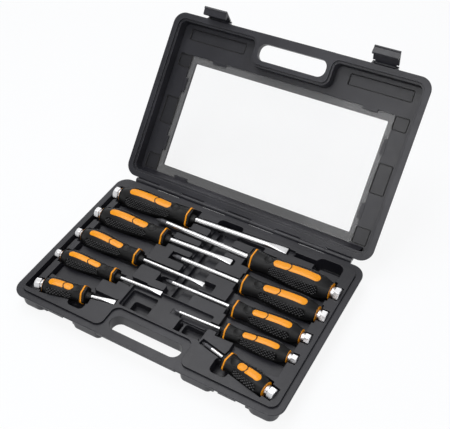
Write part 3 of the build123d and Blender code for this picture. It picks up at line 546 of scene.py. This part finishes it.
def add_bead(shape: bmesh.types.BMesh, loop: Sequence[tuple[Vector, Vector]], radius: float,
             sides: int = 6) -> None:
    """Adds a round bead that follows a closed line on a surface.

    Args:
        shape: The shape it is added to.
        loop: Points of the line with the surface's normals.
        radius: Radius of the bead.
        sides: Corners of its section.
    """
    count = len(loop)
    rings = []
    for index, (place, normal) in enumerate(loop):
        ahead = loop[(index + 1) % count][0] - loop[index - 1][0]
        across = ahead.cross(normal).normalized() * radius
        turns = [2 * math.pi * side / sides for side in range(sides)]
        rings.append([shape.verts.new(place + across * math.cos(turn)
                                      + normal * radius * math.sin(turn)) for turn in turns])
    for index, ring in enumerate(rings):
        following = rings[(index + 1) % count]
        for side in range(sides):
            after = (side + 1) % sides
            shape.faces.new((ring[side], ring[after], following[after], following[side]))


def add_sheet(shape: bmesh.types.BMesh, rings: Sequence[Sequence[Vector]]) -> None:
    """Adds a sheet made of rings one round another.

    Args:
        shape: The shape it is added to.
        rings: The rings from the innermost outward.
    """
    rows = [[shape.verts.new(point) for point in ring] for ring in rings]
    count = len(rows[0])
    for inner, outer in zip(rows, rows[1:]):
        for index in range(count):
            after = (index + 1) % count
            shape.faces.new((inner[index], inner[after], outer[after], outer[index]))
    shape.faces.new(rows[0])


def add_piece(name: str, mesh: bpy.types.Mesh, finish: bpy.types.Material, body: str,
              replaced: str = "") -> None:
    """Adds a piece of the object.

    Args:
        name: Name of the piece.
        mesh: Its mesh, placed in the case's frame.
        finish: Its material.
        body: CAD body it moves with.
        replaced: CAD node that it stands for, if any.
    """
    mesh.materials.clear()
    mesh.materials.append(finish)
    piece = bpy.data.objects.new(name, mesh)
    bpy.context.scene.collection.objects.link(piece)
    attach(piece, body)
    if replaced:
        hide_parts(replaced)
    LOG.info("added %s with %d faces", name, len(mesh.polygons))


def dress(node: str, material: bpy.types.Material) -> None:
    """Gives a CAD node its material.

    Args:
        node: Name of the CAD node.
        material: The material.
    """
    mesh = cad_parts[node].data
    mesh.materials.clear()
    mesh.materials.append(material)
    LOG.info("dressed %s with %s", node, material.name)


# ---- repeated studs ----------------------------------------------------------------
class StudTree(Tree):
    """Geometry Nodes tree that sets one small blunt stud on each point of a mesh."""
    POINTS, SIZE, SEED, FINISH = "Points", "Stud size", "Seed", "Finish"
    FACING, ALONG = "facing", "along"
    TAPER = 0.42            # width of a stud's top, as a share of its foot
    SMALLEST = 0.93         # smallest stud, as a share of the largest
    DRAW = 7                # seed of the studs' sizes

    def __init__(self) -> None:
        """Builds the tree with its named inputs."""
        tree = bpy.data.node_groups.new("studs", "GeometryNodeTree")
        tree.is_modifier = True
        super().__init__(tree)
        kinds = {self.POINTS: "Geometry", self.SIZE: "Vector", self.SEED: "Int",
                 self.FINISH: "Material"}
        self.keys = {name: tree.interface.new_socket(
            name, in_out="INPUT", socket_type=f"NodeSocket{kind}").identifier
                     for name, kind in kinds.items()}
        tree.interface.new_socket("Studs", in_out="OUTPUT", socket_type="NodeSocketGeometry")
        self._build()

    def _vector(self, name: str) -> bpy.types.NodeSocket:
        """Vector that each point carries.

        Args:
            name: Name that it is carried under.

        Returns:
            The vector's socket.
        """
        node = self.add("GeometryNodeInputNamedAttribute", {"data_type": "FLOAT_VECTOR"},
                        {"Name": name})
        return node.outputs["Attribute"]

    def _build(self) -> None:
        """Joins the tree's nodes."""
        given = self.add("NodeGroupInput").outputs
        cone = self.add("GeometryNodeMeshCone", {"fill_type": "NGON"},
                        {"Vertices": 4, "Radius Top": self.TAPER, "Radius Bottom": 1.0, "Depth": 1.0})
        stud = self.add("GeometryNodeTransform", None,
                        {"Geometry": cone.outputs["Mesh"], "Scale": given[self.SIZE]})
        upright = self.add("FunctionNodeAlignRotationToVector", {"axis": "Z"},
                           {"Vector": self._vector(self.FACING)})
        turned = self.add("FunctionNodeAlignRotationToVector", {"axis": "X", "pivot_axis": "Z"},
                          {"Rotation": upright.outputs[0], "Vector": self._vector(self.ALONG)})
        scale = self.add("FunctionNodeRandomValue", {"data_type": "FLOAT"},
                         {2: self.SMALLEST, 3: 1.0, "Seed": given[self.SEED]})
        placed = self.add("GeometryNodeInstanceOnPoints", None,
                          {"Points": given[self.POINTS], "Instance": stud.outputs["Geometry"],
                           "Rotation": turned.outputs[0], "Scale": scale.outputs[1]})
        real = self.add("GeometryNodeRealizeInstances", None,
                        {"Geometry": placed.outputs["Instances"]})
        finish = self.add("GeometryNodeSetMaterial", None,
                          {"Geometry": real.outputs["Geometry"], "Material": given[self.FINISH]})
        self.add("NodeGroupOutput", None, {"Studs": finish.outputs["Geometry"]})

    def grow(self, name: str, places: Sequence[tuple[Vector, Vector]], along: Vector,
             size: Sequence[float], finish: bpy.types.Material) -> bpy.types.Mesh:
        """Sets studs on points of a surface.

        Args:
            name: Name of the mesh.
            places: The points with the surface's normals.
            along: Direction of the studs' long diagonal.
            size: Half length, half width and height of a stud.
            finish: Material of the studs.

        Returns:
            One plain mesh of all the studs.
        """
        mesh = bpy.data.meshes.new(f"{name}_points")
        mesh.from_pydata([place for place, _ in places], [], [])
        vectors = {self.FACING: [value for _, normal in places for value in normal],
                   self.ALONG: [value for _ in places for value in along]}
        for key, values in vectors.items():
            mesh.attributes.new(key, "FLOAT_VECTOR", "POINT").data.foreach_set("vector", values)
        carrier = bpy.data.objects.new(f"{name}_points", mesh)
        bpy.context.scene.collection.objects.link(carrier)
        modifier = carrier.modifiers.new("studs", "NODES")
        modifier.node_group = self.tree
        for key, value in ((self.SIZE, list(size)), (self.SEED, self.DRAW), (self.FINISH, finish)):
            modifier[self.keys[key]] = value
        graph = bpy.context.evaluated_depsgraph_get()
        studs = bpy.data.meshes.new_from_object(carrier.evaluated_get(graph))
        studs.name = name
        bpy.data.objects.remove(carrier)
        bpy.data.meshes.remove(mesh)
        return studs


# ---- screwdrivers ------------------------------------------------------------------
class Kind(Enum):
    """The two kinds of screwdriver, by the first word of their bodies' names."""
    SLOTTED = "slotted"
    CROSSHEAD = "phillips"


@dataclass(frozen=True)
class ToolAxis:
    """Axis of one screwdriver, read from its CAD nodes, from its cap's outer end to its tip."""
    name: str
    origin: Vector
    along: Vector
    grip: BVHTree
    stretch: float = 0.2 * MM       # half the length over which a radius is measured
    tip: float = 0.05 * MM          # length of the blade that counts as its tip
    outside: float = 40 * MM        # distance from the axis that is clear of every grip

    @classmethod
    def read(cls, name: str) -> "ToolAxis":
        """Reads the axis of a screwdriver.

        Args:
            name: The screwdriver's body.

        Returns:
            The axis.
        """
        low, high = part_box(f"{name}_strike_cap")
        middle = (Vector(low) + Vector(high)) / 2
        blade = node_points(f"{name}_blade")
        reach = max((point - middle).length for point in blade)
        ends = [point for point in blade if (point - middle).length > reach - cls.tip]
        along = sum(ends, Vector()) / len(ends) - middle
        along.z = 0.0
        along.normalize()
        first = min((point - middle).dot(along) for point in node_points(f"{name}_strike_cap"))
        return cls(name, middle + along * first, along, node_surface(f"{name}_grip"))

    def span(self, part: str) -> tuple[float, float]:
        """Where one of the tool's nodes begins and ends along the axis.

        Args:
            part: Last part of the node's name.

        Returns:
            Distances of its ends from the cap's outer end.
        """
        places = [(point - self.origin).dot(self.along)
                  for point in node_points(f"{self.name}_{part}")]
        return min(places), max(places)

    def point(self, distance: float, angle: float, radius: float) -> Vector:
        """Point beside the axis.

        Args:
            distance: Distance from the cap's outer end.
            angle: Turn from straight up.
            radius: Distance from the axis.

        Returns:
            The point.
        """
        side = UP.cross(self.along)
        outward = UP * math.cos(angle) + side * math.sin(angle)
        return self.origin + self.along * distance + outward * radius

    def radius(self, part: str, distance: float) -> float:
        """Largest radius of one of the tool's nodes at a place.

        Args:
            part: Last part of the node's name.
            distance: Distance from the cap's outer end.

        Returns:
            The radius.
        """
        offsets = [point - self.origin for point in node_points(f"{self.name}_{part}")]
        near = [offset for offset in offsets
                if abs(offset.dot(self.along) - distance) < self.stretch]
        return max((offset - self.along * offset.dot(self.along)).length for offset in near)

    def surface(self, distance: float, angle: float) -> tuple[Vector, Vector]:
        """Place on the grip's surface.

        Args:
            distance: Distance from the cap's outer end.
            angle: Turn from straight up.

        Returns:
            The place and the normal there.
        """
        start = self.point(distance, angle, self.outside)
        inward = (self.point(distance, angle, 0) - start).normalized()
        place, normal, _, _ = self.grip.ray_cast(start, inward)
        return place, normal


@dataclass(frozen=True)
class StrikeCap:
    """Steel cap that takes hammer blows: a hexagon with eased corners, a groove and a collar."""
    tool: ToolAxis
    corners: int = 72
    # distance along the cap as a share of its length, and radius as a share of half its width
    stations: tuple[tuple[float, float], ...] = (
        (0.0, 0.5), (0.004, 0.92), (0.02, 1.0), (0.05, 1.1), (0.07, 1.16), (0.58, 1.16),
        (0.6, 1.08), (0.61, 0.98), (0.615, 0.82), (0.68, 0.82), (0.69, 0.96), (0.9, 0.96),
        (0.91, 0.84), (0.98, 0.84))

    def mesh(self) -> bpy.types.Mesh:
        """Builds the cap's mesh.

        Returns:
            The mesh.
        """
        low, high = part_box(f"{self.tool.name}_strike_cap")
        half = (high[2] - low[2]) / 2
        first, last = self.tool.span("strike_cap")
        sixth = math.pi / 3
        rings = []
        for share, limit in self.stations:
            ring = []
            for corner in range(self.corners):
                angle = 2 * math.pi * corner / self.corners
                flat = half / math.cos((angle + sixth / 2) % sixth - sixth / 2)
                ring.append(self.tool.point(first + share * (last - first), angle,
                                            min(flat, limit * half)))
            rings.append(ring)
        return skin(f"{self.tool.name}_cap", rings)


@dataclass(frozen=True)
class FlatBlade:
    """Slotted blade: a round shank that widens and thins smoothly to its flat tip."""
    tool: ToolAxis
    flare: float = 8.0          # length of the flared stretch in shank radii
    edge: float = 0.55 * MM     # half the thickness of the tip
    thinning: float = 0.85      # under 1, the blade thins late
    square: float = 10.0        # how much squarer the tip is than the shank
    squaring: float = 1.5       # over 1, the section turns square late
    corners: int = 48
    steps: int = 16

    def _ring(self, distance: float, width: float, depth: float, power: float) -> list[Vector]:
        """Section between an ellipse, power 2, and a rectangle, high power.

        Args:
            distance: Place along the axis.
            width: Half the width.
            depth: Half the thickness.
            power: Squareness of the section.

        Returns:
            Points of the section.
        """
        points = []
        for corner in range(self.corners):
            angle = 2 * math.pi * corner / self.corners
            upward, sideward = math.cos(angle), math.sin(angle)
            reach = (abs(upward) ** power + abs(sideward) ** power) ** (-1 / power)
            across, rise = sideward * reach * width, upward * reach * depth
            points.append(self.tool.point(distance, math.atan2(across, rise),
                                          math.hypot(across, rise)))
        return points

    def mesh(self) -> bpy.types.Mesh:
        """Builds the blade's mesh.

        Returns:
            The mesh.
        """
        first, last = self.tool.span("blade")
        points = node_points(f"{self.tool.name}_blade")
        shank = max(point.z for point in points) - self.tool.origin.z
        side = UP.cross(self.tool.along)
        width = max(abs((point - self.tool.origin).dot(side)) for point in points)
        rings = [self._ring(first, shank, shank, 2.0)]
        begin = last - self.flare * shank
        for step in range(self.steps + 1):
            share = step / self.steps
            widen = share * share * (3 - 2 * share)
            depth = self.edge + (shank - self.edge) * (1 - share) ** self.thinning
            rings.append(self._ring(begin + share * (last - begin), shank + (width - shank) * widen,
                                    depth, 2 + self.square * share ** self.squaring))
        return skin(f"{self.tool.name}_flat_blade", rings)


@dataclass(frozen=True)
class SidePanel:
    """Place of one studded panel on the side of a grip."""
    tool: ToolAxis
    side: int           # -1 or 1
    centre: float       # its middle, along the axis
    angle: float        # its middle, from straight up
    radius: float       # of the grip there
    length: float       # half its length
    width: float        # half its width
    corner: float       # radius of its corners
    roundest: float = 0.98      # largest corner radius of the outline, in half widths

    def place(self, along: float, across: float) -> tuple[Vector, Vector]:
        """Place on the panel with its normal, measured from its middle."""
        return self.tool.surface(self.centre + along,
                                 self.side * (self.angle + across / self.radius))

    def holds(self, along: float, across: float, inset: float) -> bool:
        """Whether a place lies inside the panel's round corners.

        Args:
            along: Its distance from the panel's middle along the grip.
            across: Its distance from there round the grip.
            inset: Least distance from the panel's edge.

        Returns:
            True where it does.
        """
        over_x = max(abs(along) - (self.length - inset - self.corner), 0.0)
        over_y = max(abs(across) - (self.width - inset - self.corner), 0.0)
        return math.hypot(over_x, over_y) <= self.corner

    def outline(self, steps: int) -> list[tuple[float, float]]:
        """Edge of the panel as a rounded rectangle.

        Args:
            steps: Number of points.

        Returns:
            The points in order, measured from the panel's middle.
        """
        corner = min(self.corner, self.width * self.roundest)
        points = []
        for step in range(steps):
            angle = 2 * math.pi * (step + 0.5) / steps
            x, y = math.cos(angle), math.sin(angle)
            points.append((math.copysign(self.length - corner, x) + x * corner,
                           math.copysign(self.width - corner, y) + y * corner))
        return points


@dataclass(frozen=True)
class GripDetail:
    """Studded side panels of a grip, their rims, the thumb ring and the lip at its rear end."""
    tool: ToolAxis
    tray: BVHTree
    reach: tuple[float, float] = (0.12, 0.76)   # shares of the grip between its orange rings
    middle: float = math.radians(64)
    half_turn: float = math.radians(25)
    corner: float = 5.5 * MM
    rim: float = 0.6 * MM
    lift: float = 0.12 * MM                     # of the panel's sheet over the grip
    pitch: tuple[float, float] = (4.6 * MM, 3.8 * MM)
    stud: tuple[float, float, float] = (1.65 * MM, 1.3 * MM, 1.05 * MM)
    stud_inset: float = 0.9 * MM                # from the panel's edge to a stud's middle
    stud_room: float = 1.9 * MM                 # least distance from a stud's foot to the tray
    bead_gap: float = 0.15 * MM                 # between a bead and the tray
    thumb_at: float = 0.8
    thumb_radii: tuple[float, float] = (6.2 * MM, 5.0 * MM)    # along and across the grip
    thumb_rim: float = 0.5 * MM
    lip: float = 0.8 * MM                       # radius of the lip, the unit of the next two
    lip_at: float = 1.3                         # in front of the rear ring's outer end
    lip_sink: float = 0.3                       # below the ring's rim
    lip_sides: int = 10
    rim_steps: int = 96
    sheet_rings: int = 9

    def _room(self, place: Vector) -> float:
        """Distance from a place to the tray, or the room that a stud needs if that is less."""
        distance = self.tray.find_nearest(place, self.stud_room)[3]
        return self.stud_room if distance is None else distance

    def _sunk(self, loop: Sequence[tuple[Vector, Vector]],
              radius: float) -> list[tuple[Vector, Vector]]:
        """Line of a bead, sunk into the grip where the tray is close.

        Args:
            loop: Points of the line with the surface's normals.
            radius: Radius of the bead.

        Returns:
            The line that keeps the bead clear of the tray.
        """
        return [(place - normal * max(0.0, radius + self.bead_gap - self._room(place)), normal)
                for place, normal in loop]

    def _panels(self) -> list[SidePanel]:
        """Works out the two panels.

        Returns:
            The panels on the two sides of the grip.
        """
        first, last = self.tool.span("core")
        low, high = (first + share * (last - first) for share in self.reach)
        centre = (low + high) / 2
        place, _ = self.tool.surface(centre, self.middle)
        radius = (place - self.tool.point(centre, 0, 0)).length
        return [SidePanel(self.tool, side, centre, self.middle, radius, (high - low) / 2,
                          radius * self.half_turn, self.corner) for side in (-1, 1)]

    def _studs(self, panel: SidePanel) -> Iterable[tuple[Vector, Vector]]:
        """Staggered feet of a panel's studs.

        Args:
            panel: The panel.

        Yields:
            The feet with their normals, where the tray leaves room.
        """
        step_x, step_y = self.pitch
        rows, columns = int(panel.width / (step_y / 2)), int(panel.length / step_x)
        for row in range(-rows, rows + 1):
            for column in range(-columns - 1, columns + 1):
                along = (column + (0.5 if row % 2 else 0.0)) * step_x
                across = row * step_y / 2
                if panel.holds(along, across, self.stud_inset):
                    foot = panel.place(along, across)
                    if self._room(foot[0]) >= self.stud_room:
                        yield foot

    def _add_panel(self, panel: SidePanel, beads: bmesh.types.BMesh,
                   sheets: bmesh.types.BMesh) -> None:
        """Adds a panel's rim and its sheet, whose darker colour is painted shade between the studs.

        Args:
            panel: The panel.
            beads: The shape that the rim is added to.
            sheets: The shape that the sheet is added to.
        """
        outline = panel.outline(self.rim_steps)
        add_bead(beads, self._sunk([panel.place(*spot) for spot in outline], self.rim), self.rim)
        rings = []
        for ring in range(1, self.sheet_rings + 1):
            share = ring / self.sheet_rings
            spots = [panel.place(x * share, y * share) for x, y in outline]
            rings.append([point + normal * self.lift for point, normal in spots])
        add_sheet(sheets, rings)

    def _add_thumb_ring(self, beads: bmesh.types.BMesh) -> None:
        """Adds the ring for the thumb on top of the grip.

        Args:
            beads: The shape that it is added to.
        """
        first, last = self.tool.span("core")
        centre = first + self.thumb_at * (last - first)
        top, _ = self.tool.surface(centre, 0.0)
        height = (top - self.tool.point(centre, 0, 0)).length
        count = self.rim_steps // 2
        loop = []
        for step in range(count):
            turn = 2 * math.pi * step / count
            across = math.sin(turn) * self.thumb_radii[1]
            loop.append(self.tool.surface(centre + math.cos(turn) * self.thumb_radii[0],
                                          math.atan2(across, height)))
        add_bead(beads, self._sunk(loop, self.thumb_rim), self.thumb_rim)

    def _add_lip(self, beads: bmesh.types.BMesh) -> None:
        """Adds the lip of the grip that covers the rear ring's rim.

        Args:
            beads: The shape that it is added to.
        """
        first, _ = self.tool.span("core")
        radius = self.tool.radius("core", first) - self.lip * self.lip_sink
        turns = [2 * math.pi * step / self.rim_steps for step in range(self.rim_steps)]
        loop = [(self.tool.point(first + self.lip * self.lip_at, turn, radius),
                 self.tool.point(0.0, turn, 1.0) - self.tool.origin) for turn in turns]
        add_bead(beads, self._sunk(loop, self.lip), self.lip, self.lip_sides)

    def build(self, rubber: bpy.types.Material, dark: bpy.types.Material,
              stud_highlight: bpy.types.Material, tree: StudTree) -> None:
        """Adds the grip's details.

        Args:
            rubber: Material of the grip.
            dark: Material of the panels under their studs, darker than the grip as painted shade.
            stud_highlight: Material of the studs, lighter than the grip as painted highlights.
            tree: Geometry Nodes tree of the studs.
        """
        name, panels = self.tool.name, self._panels()
        beads, sheets = bmesh.new(), bmesh.new()
        for panel in panels:
            self._add_panel(panel, beads, sheets)
        self._add_thumb_ring(beads)
        self._add_lip(beads)
        feet = [foot for panel in panels for foot in self._studs(panel)]
        add_piece(f"{name}_grip_rims", finished(beads, f"{name}_grip_rims"), rubber, name)
        # the panels' sheets carry painted shade, the studs painted highlights
        add_piece(f"{name}_grip_panels", finished(sheets, f"{name}_grip_panels"), dark, name)
        studs = tree.grow(f"{name}_grip_studs", feet, self.tool.along, self.stud, stud_highlight)
        add_piece(f"{name}_grip_studs", studs, stud_highlight, name)


@dataclass
class Drivers:
    """The ten screwdrivers."""
    rubber: GripRubber = GripRubber()
    # painted shade and painted highlights: the sheets under the studs are darker than the grip, and
    # the studs lighter and glossier, so that they stand out as if lit
    panel: GripRubber = GripRubber("grip_panel_rubber", shade=0.002, gloss=0.1)
    stud: GripRubber = GripRubber("grip_stud_rubber", shade=0.03, gloss=0.8)
    orange: OrangePlastic = OrangePlastic()
    steel: PlatedSteel = PlatedSteel("blade_steel")
    cap: PlatedSteel = PlatedSteel("cap_steel", colour=0.78, roughness=0.28)
    # lengths of the blackened crosshead tips, from the largest driver to the smallest
    black_tips: tuple[float, ...] = (18.4 * MM, 15.5 * MM, 10.5 * MM, 10.3 * MM, 15.6 * MM)

    def _dress_crosshead(self, tool: ToolAxis, number: int, black: float) -> None:
        """Gives a crosshead blade its steel and its blackened tip.

        Args:
            tool: The screwdriver's axis.
            number: The screwdriver's number.
            black: Length of the tip.
        """
        start = tool.point(tool.span("blade")[1] - black, 0.0, 0.0).dot(tool.along)
        mark = TipMark(tuple(tool.along), start)
        dress(f"{tool.name}_blade", PlatedSteel(f"crosshead_steel_{number}", mark=mark).material())

    def build(self) -> None:
        """Dresses every screwdriver and adds its details."""
        rubber, orange = self.rubber.material(), self.orange.material()
        # painted shade under the studs and painted highlights on them
        panel, stud = self.panel.material(), self.stud.material()
        steel, cap = self.steel.material(), self.cap.material()
        studs, tray = StudTree(), node_surface("base_tray")
        for kind in Kind:
            for number, black in enumerate(self.black_tips, 1):
                tool = ToolAxis.read(f"{kind.value}_{number}")
                dress(f"{tool.name}_grip", rubber)
                dress(f"{tool.name}_core", orange)
                add_piece(f"{tool.name}_cap", StrikeCap(tool).mesh(), cap, tool.name,
                          f"{tool.name}_strike_cap")
                GripDetail(tool, tray).build(rubber, panel, stud, studs)
                if kind is Kind.SLOTTED:
                    add_piece(f"{tool.name}_flat_blade", FlatBlade(tool).mesh(), steel, tool.name,
                              f"{tool.name}_blade")
                else:
                    self._dress_crosshead(tool, number, black)


# ---- case --------------------------------------------------------------------------
@dataclass(frozen=True)
class LidTrim:
    """Painted shadow lines, near-black beads round the recesses and notches of the lid's inner panel,
    and the notches' floors.
    """
    lid: LidPlane = LidPlane()
    face: float = 47.8 * MM                 # height of the panel on the shut lid
    recess_at: float = 129.2 * MM           # middle of a recess, on either side
    recess_half: float = 46.5 * MM
    recess_span: tuple[float, float] = (222.7 * MM, 238.5 * MM)     # from the rear edge
    notch_reach: tuple[float, float] = (162.0 * MM, 182.0 * MM)     # from the middle
    notch_spans: tuple[tuple[float, float], ...] = (
        (19 * MM, 42 * MM), (91 * MM, 133 * MM), (181 * MM, 200 * MM))
    bead: float = 0.65 * MM
    ease: float = 1.2 * MM                  # of the corners
    floor_front: float = 1.0 * MM           # of a notch's floor, behind the panel's face
    floor_back: float = 1.8 * MM            # just in front of the pane
    floor_gap: float = 0.1 * MM             # round it
    floor_ease: float = 0.3 * MM            # of its front edge

    def _loop(self, left: float, right: float, near: float, far: float,
              depth: float = 0.0) -> list[tuple[Vector, Vector]]:
        """Rectangle with eased corners on the open lid's panel.

        Args:
            left: Its left end.
            right: Its right end.
            near: Distance of its near side from the rim's rear edge.
            far: Distance of its far side from there.
            depth: Its depth behind the panel's face.

        Returns:
            Its points with the panel's normal.
        """
        ease, normal = self.ease, self.lid.turn() @ -UP
        corners = [(left, far - ease), (left + ease, far), (right - ease, far),
                   (right, far - ease), (right, near + ease), (right - ease, near),
                   (left + ease, near), (left, near + ease)]
        return [(self.lid.place(across, back, self.face + depth), normal)
                for across, back in corners]

    def _add_notch(self, lines: bmesh.types.BMesh, floors: bmesh.types.BMesh,
                   edges: tuple[float, float, float, float]) -> None:
        """Adds the painted shadow line round a notch and the notch's floor.

        Args:
            lines: The shape that the painted shadow line is added to.
            floors: The shape that the floor is added to.
            edges: The notch's left, right, near and far edges.
        """
        add_bead(lines, self._loop(*edges), self.bead)
        left, right, near, far = edges
        gap, ease = self.floor_gap, self.floor_ease
        rings = []
        for inset, depth in ((gap + ease, self.floor_front), (gap, self.floor_front + ease),
                             (gap, self.floor_back)):
            loop = self._loop(left + inset, right - inset, near + inset, far - inset, depth)
            rings.append([point for point, _ in loop])
        add_skin(floors, rings)

    def build(self, shade: bpy.types.Material, floor: bpy.types.Material) -> None:
        """Adds the painted shadow lines and the notches' floors.

        Args:
            shade: Material of the painted shadow lines.
            floor: Material of the floors.
        """
        lines, floors = bmesh.new(), bmesh.new()
        # painted shadow: a near-black bead round each recess and notch, where its walls are in shade
        for side in (-1, 1):
            middle = side * self.recess_at
            add_bead(lines, self._loop(middle - self.recess_half, middle + self.recess_half,
                                       *self.recess_span), self.bead)
            left, right = sorted(side * reach for reach in self.notch_reach)
            for near, far in self.notch_spans:
                self._add_notch(lines, floors, (left, right, near, far))
        add_piece("lid_recess_edges", finished(lines, "lid_recess_edges"), shade, "lid")
        add_piece("lid_notch_floors", finished(floors, "lid_notch_floors"), floor, "lid")


@dataclass
class CaseShells:
    """The case's own mouldings and metal parts."""
    shell: MouldedPlastic = MouldedPlastic("case_plastic", shade=0.012, rub=0.023, edge=0.9 * MM)
    tray: MouldedPlastic = MouldedPlastic("tray_plastic", shade=0.01, rub=0.018, edge=0.9 * MM)
    panel: MouldedPlastic = MouldedPlastic("panel_plastic", shade=0.012, rub=0.02, edge=0.45 * MM)
    floor: MouldedPlastic = MouldedPlastic("notch_plastic", shade=0.008, rub=0.014, edge=0.3 * MM)
    # painted shadow: near-black plastic of the lines round the lid's recesses and notches
    shade: MouldedPlastic = MouldedPlastic("panel_shade", shade=0.001, rub=0.002)
    steel: PlatedSteel = PlatedSteel("pin_steel", roughness=0.28)
    pane: ClearPane = ClearPane()
    trim: LidTrim = LidTrim()

    def build(self) -> None:
        """Dresses the shells, tray, panel, pane and pins, and adds the lid's trim of painted shadow
        lines and notch floors.
        """
        shell, steel = self.shell.material(), self.steel.material()
        for node in ("base_outer_shell", "lid_outer_shell", "latch_left", "latch_right"):
            dress(node, shell)
        dress("base_tray", self.tray.material())
        dress("lid_inner_panel", self.panel.material())
        self.trim.build(self.shade.material(), self.floor.material())
        for node in ("hinge_pin", "latch_pin_left", "latch_pin_right"):
            dress(node, steel)
        dress("window_pane", self.pane.material())


# ---- studio ------------------------------------------------------------------------
@dataclass(frozen=True)
class Lamp:
    """Square soft lamp that is aimed at the case."""
    name: str
    place: tuple[float, float, float]
    size: float
    power: float

    def build(self, target: Vector) -> None:
        """Adds the lamp.

        Args:
            target: What it is aimed at.
        """
        data = bpy.data.lights.new(self.name, "AREA")
        data.size, data.energy = self.size, self.power
        lamp = bpy.data.objects.new(self.name, data)
        lamp.location = self.place
        lamp.rotation_euler = (target - Vector(self.place)).to_track_quat("-Z", "Y").to_euler()
        bpy.context.scene.collection.objects.link(lamp)


@dataclass
class Studio:
    """Floor, backdrop, lights and camera."""
    azimuth: float = 32.298        # degrees round the case, 0 looking along +Y
    elevation: float = 44.709
    roll: float = -3.101
    distance: float = 1101.507 * MM
    target: tuple[float, float, float] = (-19.946 * MM, 129.781 * MM, 27.0 * MM)
    lens: float = 61.066
    sensor: float = 36.0
    clip: tuple[float, float] = (0.05, 50.0)
    floor_half: float = 6.0
    wall_radius: float = 5.9
    wall_height: float = 2.2
    wall_sides: int = 96
    paper: tuple[float, float, float, float] = (0.84, 0.88, 0.95, 1.0)
    white: float = 0.88            # share of plain white that the camera sees in the paper
    surroundings: float = 0.28
    lamps: tuple[Lamp, ...] = (
        Lamp("key", (-0.45, 0.2, 1.7), 1.0, 12.5), Lamp("fill", (1.2, -0.7, 1.2), 0.9, 7.0),
        Lamp("rear", (-0.7, 1.3, 1.4), 1.5, 7.0), Lamp("front", (-0.05, -0.8, 1.15), 0.6, 5.0))

    def build(self) -> None:
        """Makes everything round the object."""
        self._camera()
        self._floor()
        self._world()
        for lamp in self.lamps:
            lamp.build(Vector(self.target))
        bpy.context.scene.view_settings.view_transform = "Standard"

    def _camera(self) -> None:
        """Camera at the photograph's viewing angle."""
        azimuth, elevation = math.radians(self.azimuth), math.radians(self.elevation)
        back = Vector((math.sin(azimuth) * math.cos(elevation),
                       -math.cos(azimuth) * math.cos(elevation), math.sin(elevation)))
        right = Vector((math.cos(azimuth), math.sin(azimuth), 0))
        up = back.cross(right)
        turn = Matrix((right, up, back)).transposed().to_4x4()
        data = bpy.data.cameras.new("camera")
        data.lens, data.sensor_width, data.sensor_fit = self.lens, self.sensor, "HORIZONTAL"
        data.clip_start, data.clip_end = self.clip
        camera = bpy.data.objects.new("camera", data)
        roll = Matrix.Rotation(math.radians(self.roll), 4, "Z")
        camera.matrix_world = (Matrix.Translation(Vector(self.target) + back * self.distance)
                               @ turn @ roll)
        bpy.context.scene.collection.objects.link(camera)
        bpy.context.scene.camera = camera

    def _floor(self) -> None:
        """Plain pale floor with a low round wall, both white to the camera, with soft shadows."""
        half, count = self.floor_half, self.wall_sides
        corners = [(-half, -half, 0), (half, -half, 0), (half, half, 0), (-half, half, 0)]
        turns = [2 * math.pi * side / count for side in range(count)]
        wall = [(self.wall_radius * math.cos(turn), self.wall_radius * math.sin(turn), height)
                for height in (0.0, self.wall_height) for turn in turns]
        faces = [(side, side + count, (side + 1) % count + count, (side + 1) % count)
                 for side in range(count)]
        paper = self._paper()
        self._stage("floor", corners, [(0, 1, 2, 3)], paper)
        self._stage("backdrop", wall, faces, paper)

    @staticmethod
    def _stage(name: str, points: Sequence[tuple[float, float, float]],
               faces: Sequence[tuple[int, ...]], finish: bpy.types.Material) -> None:
        """Adds a piece of the studio.

        Args:
            name: Its name.
            points: Its corner points.
            faces: Its faces.
            finish: Its material.
        """
        mesh = bpy.data.meshes.new(name)
        mesh.from_pydata(points, [], faces)
        mesh.materials.append(finish)
        stage = bpy.data.objects.new(name, mesh)
        bpy.context.scene.collection.objects.link(stage)

    def _paper(self) -> bpy.types.Material:
        """Pale paper that shows white to the camera and in metal and glass.

        Returns:
            The material.
        """
        graph = Graph("floor_paper")
        paper = graph.add("ShaderNodeBsdfDiffuse", None, {"Color": self.paper}).outputs[0]
        white = graph.add("ShaderNodeEmission", None, {"Color": grey(1.0)}).outputs[0]
        path = graph.add("ShaderNodeLightPath")
        seen = Signal(graph, path.outputs["Is Camera Ray"])
        seen = seen.math("MAXIMUM", path.outputs["Is Glossy Ray"])
        seen = seen.math("MAXIMUM", path.outputs["Is Transmission Ray"])
        mixed = graph.add("ShaderNodeMixShader", None, {0: seen * self.white, 1: paper, 2: white})
        return graph.output(mixed.outputs[0])

    def _world(self) -> None:
        """Even pale surroundings."""
        world = bpy.data.worlds.new("surroundings")
        world.use_nodes = True
        bpy.context.scene.world = world
        background = world.node_tree.nodes["Background"]
        background.inputs["Color"].default_value = grey(1.0)
        background.inputs["Strength"].default_value = self.surroundings


def main() -> None:
    """Builds the object's looks and the studio round it."""
    logging.basicConfig(level=logging.INFO, format="%(name)s: %(message)s")
    CaseShells().build()
    Drivers().build()
    Studio().build()


if __name__ == "__main__":
    main()
